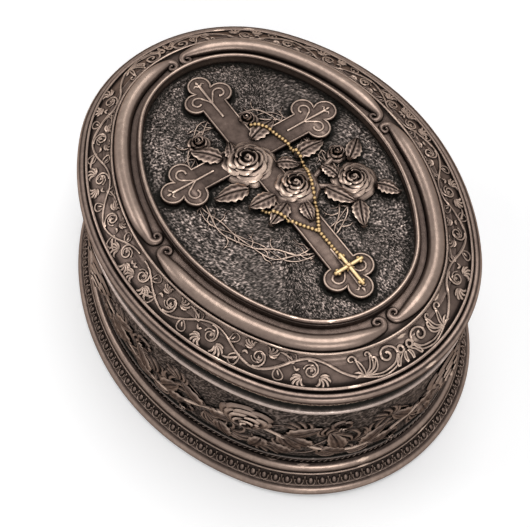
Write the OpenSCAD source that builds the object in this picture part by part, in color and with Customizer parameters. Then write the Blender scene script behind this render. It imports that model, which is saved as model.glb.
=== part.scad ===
// Oval rosary box: a footed box with a floral frieze and a lift-off lid.
// Plan: every moulding follows one oval of four tangent arcs, so each runs parallel to
// the next, and a place on it is an inset from the foot's outer edge. The arcs' centres
// are set out by a 3-4-5 triangle, so the arcs meet on lines with a slope of 4 in 3.
// X runs along the box, with the head of the cross towards -X. Z = 0 is the table.

/* [Plan] */
// Length over the foot
box_length = 130; // [124:1:140]
// Width over the foot
box_width = 106; // [102:1:110]

/* [Foot] */
// Radius of the bead round the bottom edge
foot_bead_r = 1.9; // [1.6:0.1:2.3]
// Height of the sloping egg band
egg_band_rise = 2.8; // [2.2:0.1:3.4]
// How far the egg band slopes inwards
egg_band_run = 2.2; // [1.8:0.1:2.8]
// Number of eggs in a quarter of the foot
eggs_per_quarter = 29; // [20:1:30]
// Radius of one egg
egg_r = 1.05; // [0.8:0.05:1.1]
// Radius of the large round moulding above the eggs
foot_torus_r = 1.7; // [1.4:0.1:2]
// Radius of the leaf band where the wall meets the foot
foot_band_r = 0.7; // [0.5:0.05:0.9]
// Thickness of the box's floor
floor_t = 4; // [3:0.5:6]

/* [Wall] */
// Height of the frieze between its two beads
frieze_height = 28.8; // [26:0.2:34]
// How far the wall leans in over its height
wall_lean = 1.5; // [0.5:0.1:2.2]
// Thickness of the wall at its top
wall_t = 3.9; // [3:0.1:5]
// Radius of the thin bead at the wall's bottom
wall_bead_r = 0.45; // [0.3:0.05:0.6]
// Radius of the bead at the wall's top
mouth_bead_r = 0.7; // [0.5:0.05:0.9]
// Units of vine, rose and leaves round the wall
frieze_units = 6; // [5:1:7]
// Thickness of the vine
vine_r = 0.75; // [0.5:0.05:1]
// Height of its large roses above the ground
rose_relief = 2.4; // [1.8:0.1:2.6]
// Height of its buds above the ground
bud_relief = 1.6; // [1.2:0.1:2]
// Height of its leaves above the ground
leaf_relief = 1.2; // [0.8:0.1:1.5]

/* [Lid] */
// Height of the plain recess under the lid's leaf band
lid_recess_h = 1.3; // [1:0.1:2]
// Height of the lid's leaf band
leaf_band_h = 3.2; // [2.6:0.1:4]
// Radius of the round moulding at the lid's edge
lid_torus_r = 1.5; // [1.2:0.1:1.8]
// Width of the sloping scroll band, seen from above
scroll_band_run = 4; // [3.6:0.1:4.6]
// Rise of the sloping scroll band
scroll_band_rise = 2.3; // [1.8:0.1:3]
// Depth of the locating ring below the lid's seat
ring_depth = 3; // [2:0.5:5]
// Thickness of the locating ring
ring_t = 2; // [1.5:0.1:3]
// Gap between the locating ring and the box's mouth
lid_gap = 0.4; // [0.3:0.05:0.6]
// Thickness of the lid's top under the panel
lid_top_t = 2; // [1.5:0.1:3]

/* [Medallion] */
// Radius of the four half-round frame scrolls
scroll_r = 2.1; // [1.8:0.1:2.3]
// Distance from the centre line to the eye of each volute
volute_offset = 2.5; // [2.3:0.1:4]
// Flat run between the frame scrolls and the rim
rim_gap = 2.4; // [2:0.1:3]
// Height of the rim's bead above the frame's seat
rim_rise = 1.7; // [1.2:0.1:2.2]
// Radius of the rim round the medallion
rim_r = 0.6; // [0.5:0.05:0.8]
// Thickness of the stippled panel
panel_t = 2; // [1.2:0.1:3]
// Depth of the panel's ground below the frame's seat
panel_drop = 0.6; // [0.3:0.1:1]

/* [Cross] */
// Gap between the tips of the cross and the rim
cross_gap = 3.2; // [2.6:0.2:5]
// Distance of its arms from the middle of the box
arm_offset = 10.5; // [8:0.5:13]
// Width of its bars
bar_w = 7; // [6:0.2:8]
// Radius of the three lobes at each end
lobe_r = 3.1; // [2.6:0.1:3.4]
// Thickness of the cross
cross_t = 1.6; // [1.2:0.1:2.2]
// Width of its raised border
cross_border = 0.7; // [0.5:0.1:1.1]
// Height of its raised border
cross_border_h = 0.4; // [0.2:0.1:0.6]

/* [Spray of roses] */
// Height of its leaves above the medallion's panel
spray_leaf_h = 2.6; // [2.2:0.1:3]
// Radius of its stems
spray_stem_r = 0.9; // [0.7:0.05:1.1]

/* [Rosary] */
// Radius of a bead
bead_r = 0.5; // [0.4:0.05:0.65]
// Gap between two beads
bead_gap = 0.08; // [0.05:0.01:0.2]
// Length of the small gold cross
crucifix_length = 9.8; // [8:0.2:11]
// Distance of its ring from the foot of the large cross
crucifix_from_foot = 12.4; // [11:0.2:13]
// Width of its bars
crucifix_w = 1.1; // [0.8:0.1:1.4]
// Thickness of the small gold cross
crucifix_t = 0.9; // [0.6:0.1:1.2]

/* [Felt] */
// Thickness of the felt under the foot
felt_t = 1; // [0.8:0.1:2]
// How far that felt stands proud of the foot
felt_proud = 0.3; // [0.2:0.1:0.6]
// Thickness of the lining on the box's floor
lining_t = 1.2; // [0.8:0.1:2]

/* [Hidden] */

bronze = [0.45, 0.34, 0.29];
dark_bronze = [0.22, 0.19, 0.17];
gold = [0.85, 0.66, 0.3];
felt_black = [0.06, 0.06, 0.06];
$fn = 64;

// The oval: end arcs round (end_c, 0) and side arcs round (0, -side_c)
half_l = box_length / 2;
half_w = box_width / 2;
oval_gap = half_l - half_w;
end_c = 1.5 * oval_gap;
side_c = 2 * oval_gap;
joint_angle = atan2(4, 3);
end_r = half_l - end_c;
side_r = half_w + side_c;

// Foot, from the table up. Names ending in _i are insets and those in _z are heights.
foot_z = felt_proud;
fillet_r = 0.45;
foot_bead_z = foot_z + 0.9 * foot_bead_r;
egg_i0 = 0.85 * foot_bead_r;
egg_z0 = foot_bead_z + 1.05 * foot_bead_r;
egg_i1 = egg_i0 + egg_band_run;
egg_z1 = egg_z0 + egg_band_rise;
foot_fillet_i = egg_i1 + 0.3;
foot_fillet_z = egg_z1 + fillet_r;
foot_torus_i = foot_fillet_i + foot_torus_r;
foot_torus_z = foot_fillet_z + 0.75 * foot_torus_r;
foot_top_z = foot_torus_z + foot_torus_r + 0.2;
floor_z = foot_z + floor_t;
felt_inset = 3;

// Wall, standing on the foot
foot_band_i = foot_torus_i + 0.9;
wall_bead_i = foot_band_i - 0.25;
wall_bead_z = foot_top_z + 2 * foot_band_r + 1.2;
wall_i0 = wall_bead_i + 0.15;
wall_z0 = wall_bead_z + wall_bead_r;
wall_i1 = wall_i0 + wall_lean;
wall_z1 = wall_z0 + frieze_height;
mouth_bead_i = wall_i1 + 0.1;
mouth_bead_z = wall_z1 + mouth_bead_r;
bevel_h = 0.7;
seat_z = mouth_bead_z + mouth_bead_r + bevel_h;
seat_i = wall_i1 + 1.2;
mouth_i = wall_i1 + wall_t;
function wall_i(z) = wall_i0 + wall_lean * (z - wall_z0) / frieze_height;

// Lid, from its seat up
leaf_flare = 0.8;
leaf_z0 = seat_z + lid_recess_h;
leaf_z1 = leaf_z0 + leaf_band_h;
leaf_i1 = seat_i - 1;
lid_torus_i = leaf_i1 + 0.5;
lid_torus_z = leaf_z1 + lid_torus_r;
lid_fillet_i = lid_torus_i + 1.3;
lid_fillet_z = lid_torus_z + lid_torus_r + 0.5;
band_i0 = lid_fillet_i + 0.4;
band_z0 = lid_fillet_z + 0.2;
band_i1 = band_i0 + scroll_band_run;
band_z1 = band_z0 + scroll_band_rise;
cavetto_r = 1.6;
cavetto_i = band_i1 + 0.3;
frame_z = band_z1 + 1.3;
thread_r = 0.35;
thread_i = cavetto_i + cavetto_r + 0.4;
scroll_i = thread_i + 0.4 + scroll_r;
rim_i = scroll_i + scroll_r + rim_gap;
rim_z = frame_z + rim_rise;
panel_i = rim_i + 0.8 * rim_r;
panel_z = frame_z - panel_drop;
ceiling_z = panel_z - panel_t - lid_top_t;
ring_i0 = mouth_i + lid_gap;
ring_i1 = ring_i0 + ring_t;

// Points of the oval

// Point whose normal points at angle t, at an inset
function oval_xy(t, inset) =
    let (nx = cos(t), ny = sin(t), on_end = abs(atan2(abs(ny), abs(nx))) < joint_angle)
    on_end
        ? [sign(nx) * end_c + (end_r - inset) * nx, (end_r - inset) * ny]
        : [(side_r - inset) * nx, (side_r - inset) * ny - sign(ny) * side_c];

function end_len(inset) = (end_r - inset) * joint_angle * PI / 180;
function side_len(inset) = (side_r - inset) * (90 - joint_angle) * PI / 180;
function quarter_len(inset) = end_len(inset) + side_len(inset);

// Normal's angle at arc length s from +X, in the first quarter and all round
function quarter_t(s, inset) =
    s < end_len(inset)
        ? s / end_len(inset) * joint_angle
        : joint_angle + (s - end_len(inset)) / side_len(inset) * (90 - joint_angle);
function oval_t(s, inset) =
    let (q = quarter_len(inset), n = floor(s / q), r = s - n * q)
    n % 2 == 0 ? 90 * n + quarter_t(r, inset) : 90 * (n + 1) - quarter_t(q - r, inset);

// Wedges that part the end arcs from the side arcs, along the lines where they meet.
// The end wedge laps over the line by a hair, so that the arcs fuse at any size.
wedge_m = 40;
wedge_h = 200;
lap = 0.002;

module end_wedge() {
    x = end_c - lap;
    linear_extrude(wedge_h, center = true) polygon([[x, 0], [x + 3 * wedge_m, 4 * wedge_m],
        [x + 5 * wedge_m, 4 * wedge_m], [x + 5 * wedge_m, -4 * wedge_m],
        [x + 3 * wedge_m, -4 * wedge_m]]);
}

module side_wedge() {
    linear_extrude(wedge_h, center = true) polygon([[0, -side_c],
        [end_c + 3 * wedge_m, 4 * wedge_m], [-end_c - 3 * wedge_m, 4 * wedge_m]]);
}

// Moulding round the oval: its profile is drawn at x = -inset, y = height
module end_arc() {
    intersection() {
        translate([end_c, 0, 0]) rotate_extrude($fn = 96) translate([end_r, 0]) children();
        end_wedge();
    }
}

module side_arc() {
    intersection() {
        translate([0, -side_c, 0]) rotate_extrude($fn = 144) translate([side_r, 0]) children();
        side_wedge();
    }
}

module oval_ring() {
    for (turn = [0, 180]) rotate(turn) {
        end_arc() children();
        side_arc() children();
    }
}

// Oval plate: the four pies of the oval and a core between their centres
module plate(z0, z1, inset) {
    core = 1.35 * oval_gap;
    oval_ring() translate([-end_r, z0]) square([end_r - inset, z1 - z0]);
    translate([0, 0, z0]) linear_extrude(z1 - z0)
        polygon([[end_c, 0], [0, core], [-end_c, 0], [0, -core]]);
}

module bead(inset, z, r) { translate([-inset, z]) circle(r, $fn = 32); }

// Relief skinned over rings of points

module skin(rings, closed = false, flip = false) {
    n = len(rings);
    m = len(rings[0]);
    last = closed ? n - 1 : n - 2;
    sides = [for (i = [0 : last], j = [0 : m - 1])
        let (k = (i + 1) % n, l = (j + 1) % m)
        each [[i * m + j, k * m + l, i * m + l], [i * m + j, k * m + j, k * m + l]]];
    caps = closed ? [] : [for (j = [1 : m - 2])
        each [[0, j, j + 1], [(n - 1) * m, (n - 1) * m + j + 1, (n - 1) * m + j]]];
    faces = concat(sides, caps);
    polyhedron([for (r = rings) each r], flip ? [for (f = faces) [f[2], f[1], f[0]]] : faces);
}

// A ground is a function of u along it, v across it and h above it
on_panel = function(u, v, h) [u, v, panel_z + h];
on_wall = function(s, z, h)
    let (p = oval_xy(oval_t(s, wall_i0), wall_i(z) - h)) [p[0], p[1], z];

band_mid_i = band_i0 + scroll_band_run / 2;
band_w = norm([scroll_band_run, scroll_band_rise]);
band_slope = atan2(scroll_band_rise, scroll_band_run);
on_band = function(s, v, h)
    let (i = band_i0 + v * cos(band_slope) + h * sin(band_slope),
         p = oval_xy(oval_t(s, band_mid_i), i))
    [p[0], p[1], band_z0 + v * sin(band_slope) + h * cos(band_slope)];

// How deep relief is bedded in its ground
bed = 0.3;

function turned(p, a) = [p[0] * cos(a) - p[1] * sin(a), p[0] * sin(a) + p[1] * cos(a)];

// Leaf that starts at (u, v) and points at angle a
leaf_outline = [[0, 0], [0.3, -0.45], [0.68, -0.4], [1, 0], [0.68, 0.4], [0.3, 0.45]];

module leaf(on, u, v, a, l, w, h, steps = [[1, -1], [1, 0.45], [0.35, 1]]) {
    skin([for (step = steps)
        [for (p = leaf_outline)
            let (q = turned([l * (0.5 + (p[0] - 0.5) * (0.5 + 0.5 * step[0])), w * p[1] * step[0]], a))
            on(u + q[0], v + q[1], step[1] < 0 ? -bed : h * step[1])]]);
}

// Small leaf with no upright edge
leaflet_steps = [[1, -1], [0.4, 1]];

// Rose: scalloped rings of petals, each rising inside the last
rose_rings = [[1, -1], [1, 0.3], [0.84, 0.5], [0.78, 0.38], [0.64, 0.76], [0.56, 0.62],
    [0.4, 0.94], [0.3, 0.78], [0.18, 1], [0.06, 0.86]];
bud_rings = [[1, -1], [1, 0.35], [0.7, 0.85], [0.5, 0.65], [0.2, 1]];

module rose(on, u, v, r, h, rings = rose_rings, sides = 12) {
    skin([for (k = [0 : len(rings) - 1])
        [for (j = [0 : sides - 1])
            let (q = 360 * j / sides,
                 reach = r * rings[k][0] * (1 + 0.06 * cos(5 * q + 70 * floor(k / 2))))
            on(u + reach * cos(q), v + reach * sin(q), rings[k][1] < 0 ? -bed : h * rings[k][1])]]);
}

// Half-round stem along points of (u, v), tapering from radius r0 to r1
stem_section = [[1, -1], [0.8, 0.6], [0, 1], [-0.8, 0.6], [-1, -1]];

function heading(path, i) =
    let (a = path[max(i - 1, 0)], b = path[min(i + 1, len(path) - 1)])
    atan2(b[1] - a[1], b[0] - a[0]);
function stem_ring(on, p, a, r) = [for (k = stem_section)
    let (q = turned([0, k[0] * r], a)) on(p[0] + q[0], p[1] + q[1], k[1] < 0 ? -bed : r * k[1])];

module stem(on, path, r0, r1) {
    n = len(path) - 1;
    skin([for (i = [0 : n]) stem_ring(on, path[i], heading(path, i), r0 + (r1 - r0) * i / n)]);
}

// Spiral round (u, v) from angle a, winding in from radius r0 to r1
function spiral(u, v, a, turn, r0, r1, n) = [for (i = [0 : n])
    let (r = r0 * pow(r1 / r0, i / n), q = a + turn * i / n) [u + r * cos(q), v + r * sin(q)]];

// The box

module base_felt() {
    color(felt_black) plate(0, felt_t, felt_inset);
}

module base_foot() {
    color(bronze) difference() {
        union() {
            oval_ring() {
                intersection() {
                    bead(foot_bead_r, foot_bead_z, foot_bead_r);
                    translate([-2 * mouth_i, foot_z]) square([3 * mouth_i, foot_top_z]);
                }
                bead(foot_fillet_i, foot_fillet_z, fillet_r);
                bead(foot_torus_i, foot_torus_z, foot_torus_r);
                polygon([[-foot_bead_r, foot_z], [-foot_bead_r, foot_bead_z], [-egg_i0, egg_z0],
                    [-egg_i1, egg_z1], [-foot_fillet_i, foot_fillet_z], [-foot_torus_i, foot_torus_z],
                    [-foot_band_i, foot_torus_z + foot_torus_r / 2], [-foot_band_i, foot_top_z],
                    [-mouth_i, foot_top_z], [-mouth_i, foot_z]]);
            }
            plate(foot_z, floor_z, mouth_i - 1);
        }
        plate(0, felt_t, felt_inset);
    }
}

// Eggs along the middle of the sloping band
module egg_row() {
    row_i = (egg_i0 + egg_i1) / 2;
    row_z = (egg_z0 + egg_z1) / 2;
    pitch = quarter_len(row_i) / eggs_per_quarter;
    color(bronze) for (k = [0 : 4 * eggs_per_quarter - 1]) {
        p = oval_xy(oval_t((k + 0.5) * pitch, row_i), row_i);
        translate([p[0], p[1], row_z]) sphere(egg_r, $fn = 24);
    }
}

module foot_leaf_band() {
    color(dark_bronze) oval_ring() intersection() {
        bead(foot_band_i, foot_top_z + 0.8 * foot_band_r, foot_band_r);
        translate([-foot_band_i, foot_top_z]) square(3 * foot_band_r);
    }
}

module base_wall() {
    color(bronze) oval_ring() {
        bead(wall_bead_i, wall_bead_z, wall_bead_r);
        bead(mouth_bead_i, mouth_bead_z, mouth_bead_r);
        polygon([[-mouth_i, foot_top_z], [-foot_band_i, foot_top_z], [-foot_band_i, wall_bead_z],
            [-wall_i(wall_bead_z), wall_bead_z], [-wall_i(mouth_bead_z), mouth_bead_z],
            [-mouth_bead_i - mouth_bead_r / 2, mouth_bead_z + mouth_bead_r / 2],
            [-seat_i, seat_z], [-mouth_i, seat_z]]);
    }
}

// The frieze repeats a unit of vine, rose, buds and leaves round the wall
wall_round = 4 * quarter_len(wall_i0);
unit_len = wall_round / frieze_units;
vine_steps = 12;

function vine_z(share) = wall_z0 + frieze_height * (0.36 + 0.2 * sin(360 * share));

module frieze_vine() {
    count = frieze_units * vine_steps;
    color(bronze) skin([for (i = [0 : count - 1])
        let (a = atan2(vine_z((i + 1) / vine_steps) - vine_z((i - 1) / vine_steps), 2 * unit_len / vine_steps))
        stem_ring(on_wall, [wall_round * i / count, vine_z(i / vine_steps)], a, vine_r)], closed = true);
}

module frieze_roses() {
    color(bronze) for (k = [0 : frieze_units - 1]) {
        rose(on_wall, (k + 0.25) * unit_len, vine_z(0.25) + 0.1 * frieze_height,
            0.19 * frieze_height, rose_relief);
        rose(on_wall, (k + 0.68) * unit_len, wall_z0 + 0.72 * frieze_height,
            0.1 * frieze_height, bud_relief, bud_rings, 8);
        rose(on_wall, (k + 0.93) * unit_len, wall_z0 + 0.16 * frieze_height,
            0.09 * frieze_height, bud_relief, bud_rings, 8);
    }
}

// Leaves as share of the unit, share of the frieze's height, angle and length
frieze_leaf_places = [[0.02, 0.4, 115, 0.27], [0.07, 0.4, 25, 0.22], [0.42, 0.48, -70, 0.27],
    [0.45, 0.5, 50, 0.3], [0.55, 0.3, 125, 0.27], [0.6, 0.24, -15, 0.24],
    [0.68, 0.2, 90, 0.36], [0.8, 0.22, 70, 0.3], [0.82, 0.2, 5, 0.22]];

module frieze_leaves() {
    color(bronze) for (k = [0 : frieze_units - 1], p = frieze_leaf_places)
        leaf(on_wall, (k + p[0]) * unit_len, wall_z0 + p[1] * frieze_height, p[2],
            p[3] * frieze_height, 0.14 * frieze_height, leaf_relief);
}

module floor_lining() {
    lining_gap = 0.5;
    color(felt_black) plate(floor_z, floor_z + lining_t, mouth_i + lining_gap);
}

// The lid

module lid_shell() {
    color(bronze) {
        oval_ring() difference() {
            union() {
                bead(lid_torus_i, lid_torus_z, lid_torus_r);
                bead(lid_fillet_i, lid_fillet_z, fillet_r);
                bead(thread_i, frame_z, thread_r);
                polygon([[-seat_i, seat_z], [-seat_i, leaf_z1], [-lid_torus_i, lid_torus_z],
                    [-lid_torus_i - 1, lid_torus_z + lid_torus_r - 0.2],
                    [-lid_fillet_i, lid_fillet_z], [-band_i0, band_z0], [-band_i1, band_z1],
                    [-cavetto_i - cavetto_r, frame_z], [-panel_i, frame_z],
                    [-panel_i, panel_z - panel_t], [-panel_i - 1, panel_z - panel_t],
                    [-panel_i - 1, ceiling_z], [-ring_i1, ceiling_z],
                    [-ring_i1, seat_z - ring_depth], [-ring_i0, seat_z - ring_depth],
                    [-ring_i0, seat_z]]);
            }
            translate([-cavetto_i, band_z1 + cavetto_r]) circle(cavetto_r, $fn = 48);
        }
        plate(ceiling_z, panel_z - panel_t, panel_i + 1);
    }
}

// Band of leaf tips under the lid's edge
module lid_leaf_band() {
    color(dark_bronze) oval_ring() polygon([[-seat_i, leaf_z0], [-leaf_i1 - leaf_flare, leaf_z0],
        [-leaf_i1, leaf_z1], [-seat_i, leaf_z1]]);
}

// Scrollwork of one quarter of the band: a volute and a fan of leaves at the box's end,
// then a waving vine whose every bend throws off a curl and two leaves. It is drawn in
// shares of the band's width, so that it grows with the band.
vine_bends = 6;

module scrollwork_quarter() {
    volute_s = band_w;
    fan_s = 2.06 * band_w;
    start = 3.04 * band_w;
    stop = quarter_len(band_mid_i) - 0.65 * band_w;
    bend = (stop - start) / vine_bends;
    mid = band_w / 2;
    sway = 0.24 * band_w;
    steps = 3 * vine_bends;
    stem_r = 0.074 * band_w;
    tip_r = 0.056 * band_w;
    leaf_w = 0.28 * band_w;
    leaf_h = 0.17 * band_w;
    stem(on_band, [for (i = [0 : steps])
        [start + (stop - start) * i / steps, mid - sway * sin(180 * vine_bends * i / steps)]],
        stem_r, tip_r);
    for (k = [0 : vine_bends - 1]) {
        up = k % 2 == 0 ? 1 : -1;
        s = start + (k + 0.5) * bend;
        stem(on_band, spiral(s + 0.13 * band_w, mid + up * 0.12 * band_w, -90 * up, -up * 330,
            0.27 * band_w, 0.09 * band_w, 7), 0.9 * stem_r, 0.8 * tip_r);
        leaf(on_band, s - 0.35 * band_w, mid - up * 0.2 * band_w, 200 * up,
            0.42 * band_w, leaf_w, leaf_h, leaflet_steps);
        leaf(on_band, s + 0.45 * bend, mid, 60 * up, 0.46 * band_w, leaf_w, leaf_h, leaflet_steps);
    }
    stem(on_band, spiral(volute_s, mid, 250, -400, 0.42 * band_w, 0.1 * band_w, 10), 1.2 * stem_r, tip_r);
    for (a = [20 : 35 : 160])
        leaf(on_band, fan_s, 0.2 * band_w, a, 0.62 * band_w, 1.1 * leaf_w, leaf_h, leaflet_steps);
}

module rim_scrollwork() {
    color(bronze) for (x = [0, 1], y = [0, 1])
        mirror([x, 0, 0]) mirror([0, y, 0]) scrollwork_quarter();
}

module medallion_panel() {
    color(dark_bronze) plate(panel_z - panel_t, panel_z, panel_i);
}

module medallion_rim() {
    color(bronze) oval_ring() {
        bead(rim_i, rim_z, rim_r);
        polygon([[-rim_i + 1, frame_z], [-rim_i + 1, rim_z - 0.4], [-rim_i + 0.2, rim_z],
            [-panel_i, rim_z], [-panel_i, frame_z]]);
    }
}

// Frame scroll: a half-round moulding along one quarter that narrows at each end
// and curls inwards into a volute round an eye
volute_w = 1.75;
volute_end_r = 0.9;
taper_len = 8;
taper_steps = 5;
volute_steps = 12;
volute_turn = 400;

function scroll_ring(p, out, r) = [for (k = [0 : 30 : 180])
    [p[0] + r * cos(k) * out[0], p[1] + r * cos(k) * out[1], frame_z + r * sin(k)]];

// Rings of one end: end 0 is on the long axis and end 1 on the short one
function scroll_end(end) =
    let (q = quarter_len(scroll_i), e = end == 0 ? 1 : -1,
         at = function(s) oval_t(end == 0 ? s : q - s, scroll_i),
         t0 = at(volute_offset), c = oval_xy(t0, scroll_i + volute_w))
    concat(
        [for (i = [0 : taper_steps - 1])
            let (f = i / taper_steps, t = at(volute_offset + taper_len * (1.02 - f)),
                 r = scroll_r * 0.99 * (1 - f * f) + volute_end_r * f * f)
            scroll_ring(oval_xy(t, scroll_i), [cos(t), sin(t)], r)],
        [for (i = [0 : volute_steps])
            let (f = i / volute_steps, w = pow(0.3, f * volute_turn / 360), a = f * volute_turn,
                 out = [cos(t0) * cos(a) + e * sin(t0) * sin(a), sin(t0) * cos(a) - e * cos(t0) * sin(a)])
            scroll_ring(c + volute_w * w * out, out, volute_end_r * w)]);

module frame_scroll(x, y) {
    reach = volute_offset + taper_len;
    start = reach / (end_r - scroll_i) * 180 / PI;
    stop = 90 - reach / (side_r - scroll_i) * 180 / PI;
    color(bronze) mirror([x, 0, 0]) mirror([0, y, 0]) {
        intersection() {
            end_arc() half_round();
            translate([end_c, 0, 0]) rotate(start) translate([0, 0, -wedge_h]) cube(2 * wedge_h);
        }
        intersection() {
            side_arc() half_round();
            translate([0, -side_c, 0]) rotate(stop - 90) translate([0, 0, -wedge_h]) cube(2 * wedge_h);
        }
        skin(scroll_end(0));
        skin(scroll_end(1), flip = true);
    }
}

module half_round() {
    intersection() {
        bead(scroll_i, frame_z, scroll_r);
        translate([-scroll_i - 2 * scroll_r, frame_z]) square(4 * scroll_r);
    }
}

module frame_scroll_head_left() { frame_scroll(1, 1); }
module frame_scroll_head_right() { frame_scroll(1, 0); }
module frame_scroll_foot_left() { frame_scroll(0, 1); }
module frame_scroll_foot_right() { frame_scroll(0, 0); }

// Relief of the medallion

foot_x = half_l - panel_i - cross_gap;
head_x = -foot_x;
arm_x = -arm_offset;
arm_y = half_w - panel_i - cross_gap;
cross_top_z = panel_z + cross_t;
lobe_along = 1.4 * lobe_r;
lobe_across = 1.13 * lobe_r;

// Outline of the cross, drawn in by an inset, with three lobes at each end
module cross_end(inset) {
    circle(lobe_r - inset);
    for (side = [-1, 1]) translate([-lobe_along, side * lobe_across]) circle(lobe_r - inset);
}

module cross_shape(inset) {
    w = bar_w - 2 * inset;
    translate([head_x + lobe_r, -w / 2]) square([foot_x - head_x - 2 * lobe_r, w]);
    translate([arm_x - w / 2, -arm_y + lobe_r]) square([w, 2 * (arm_y - lobe_r)]);
    translate([foot_x - lobe_r, 0]) cross_end(inset);
    translate([head_x + lobe_r, 0]) rotate(180) cross_end(inset);
    for (side = [-1, 1]) translate([arm_x, side * (arm_y - lobe_r)]) rotate(90 * side) cross_end(inset);
}

// Stem and two curls that stand in each end of the cross
module end_ornament() {
    face_z = cross_top_z - cross_border_h;
    line_r = 0.35;
    curl_r = 0.5 * lobe_r;
    translate([-3.4 * lobe_r, 0, face_z]) rotate([0, 90, 0]) cylinder(r = line_r, h = 3.6 * lobe_r, $fn = 24);
    for (side = [-1, 1])
        translate([-lobe_along, side * lobe_across, face_z]) rotate(side > 0 ? -60 : -200)
            rotate_extrude(angle = 260, $fn = 32) translate([curl_r, 0]) circle(line_r, $fn = 24);
}

module cross() {
    color(bronze) difference() {
        translate([0, 0, panel_z]) linear_extrude(cross_t) cross_shape(0);
        translate([0, 0, cross_top_z - cross_border_h]) linear_extrude(1) cross_shape(cross_border);
    }
    color(bronze) intersection() {
        translate([0, 0, panel_z]) linear_extrude(cross_t) square(2 * half_l, center = true);
        union() {
            translate([head_x + lobe_r, 0, 0]) rotate(180) end_ornament();
            translate([foot_x - lobe_r, 0, 0]) end_ornament();
            for (side = [-1, 1])
                translate([arm_x, side * (arm_y - lobe_r), 0]) rotate(90 * side) end_ornament();
        }
    }
}

// What lies under the cross is cut to its outline
module clear_of_cross() {
    difference() {
        children();
        translate([0, 0, panel_z - 1]) linear_extrude(cross_t + 1) cross_shape(0);
    }
}

// Wreath of thorns: waving twigs round an ellipse, with spikes
wreath_a = 0.59 * foot_x;
wreath_b = 0.65 * arm_y;
wreath_x = -1.5;
wreath_y = -1.5;
twig_r = 0.45;
thorns = 34;

function twig_at(q, phase) =
    let (k = 1 + 0.055 * cos(5 * q + phase))
    [wreath_x + wreath_a * k * cos(q), wreath_y + wreath_b * k * sin(q)];

module thorn_wreath() {
    color(bronze) clear_of_cross() {
        for (phase = [0, 180]) {
            path = [for (i = [0 : 35]) twig_at(10 * i, phase)];
            skin([for (i = [0 : 35])
                let (d = path[(i + 1) % 36] - path[(i + 35) % 36])
                stem_ring(on_panel, path[i], atan2(d[1], d[0]), twig_r)], closed = true);
        }
        for (k = [0 : thorns - 1]) {
            q = 360 * k / thorns;
            p = twig_at(q, k % 2 * 180);
            a = q + 90 + (k % 4 < 2 ? -55 : 125);
            stem(on_panel, [p, p + turned([1.6, 0], a), p + turned([3.2, 0], a)], 0.36, 0.12);
        }
    }
}

// A place on the medallion, given as shares of the cross's reach along x and y
function on_cross(p) = [p[0] * foot_x, p[1] * arm_y];

// Spray of roses over the crossing: two shares of the cross, then radius and height as shares of its arm
rose_places = [[-0.21, -0.1, 0.28, 0.165], [0.11, 0.13, 0.24, 0.15], [0.28, 0.63, 0.235, 0.14]];
bud_places = [[-0.52, -0.37, 0.12, 0.11], [-0.51, 0.18, 0.12, 0.11], [0.04, 0.69, 0.11, 0.1]];

module spray_rose(p, rings, sides) {
    place = on_cross(p);
    rose(on_panel, place[0], place[1], p[2] * arm_y, p[3] * arm_y, rings, sides);
}

module rose_blooms() {
    color(bronze) clear_of_cross() {
        for (p = rose_places) spray_rose(p, rose_rings, 20);
        for (p = bud_places) spray_rose(p, bud_rings, 10);
    }
}

// Leaves of the spray: two shares of the cross, the angle, then length and width as shares of its arm
spray_leaves = [[-0.32, -0.29, 215, 0.31, 0.18], [-0.35, 0.08, 110, 0.31, 0.17],
    [-0.03, -0.27, 250, 0.33, 0.19], [0.19, -0.06, -60, 0.27, 0.16], [0.23, 0.35, 20, 0.31, 0.17],
    [-0.08, 0.33, 95, 0.31, 0.17], [0.43, 0.53, -35, 0.27, 0.16], [0.39, 0.78, 40, 0.23, 0.15],
    [0.13, 0.74, 120, 0.25, 0.16]];
spray_stems = [[[-0.52, -0.37], [-0.4, -0.27], [-0.27, -0.2]], [[-0.51, 0.18], [-0.41, 0.1], [-0.32, 0]],
    [[0.04, 0.69], [0.08, 0.47], [0.12, 0.27]], [[0.28, 0.55], [0.19, 0.35], [0.11, 0.2]]];

module rose_leaves() {
    color(bronze) clear_of_cross() {
        for (p = spray_leaves) {
            place = on_cross(p);
            leaf(on_panel, place[0], place[1], p[2], p[3] * arm_y, p[4] * arm_y, spray_leaf_h);
        }
        for (path = spray_stems) stem(on_panel, [for (p = path) on_cross(p)], spray_stem_r, spray_stem_r);
    }
}

// Height of the relief under a bead, over the panel, the cross and the roses
function rose_h(p, x, y) =
    let (d = norm([x, y] - on_cross(p)) / (p[2] * arm_y)) d < 1 ? p[3] * arm_y * (1 - 0.7 * d * d) : 0;
function relief_h(x, y) =
    let (on_bar = abs(y) < bar_w / 2 || abs(x - arm_x) < bar_w / 2)
    max(concat([on_bar ? cross_t : 0], [for (p = rose_places) rose_h(p, x, y)]));

// The rosary's strands, drawn from the roses down to the small cross
crucifix_x = foot_x - crucifix_from_foot;
crucifix_y = 0.6;
strand_join = [0.467, 0.02];
right_strand = [[-0.45, 0.17], [-0.33, 0.29], [-0.16, 0.35], [0, 0.34], [0.16, 0.255], [0.32, 0.15],
    strand_join];
left_strand = [[0.13, -0.27], [0.23, -0.2], [0.36, -0.09], strand_join];
tail_end = [crucifix_x, crucifix_y];

function strand_len(path, n) = n == 0 ? 0 : norm(path[n] - path[n - 1]) + strand_len(path, n - 1);
function along(path, s, n = 1) =
    let (d = norm(path[n] - path[n - 1]))
    s <= d || n == len(path) - 1 ? path[n - 1] + (path[n] - path[n - 1]) * s / d : along(path, s - d, n + 1);

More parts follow.
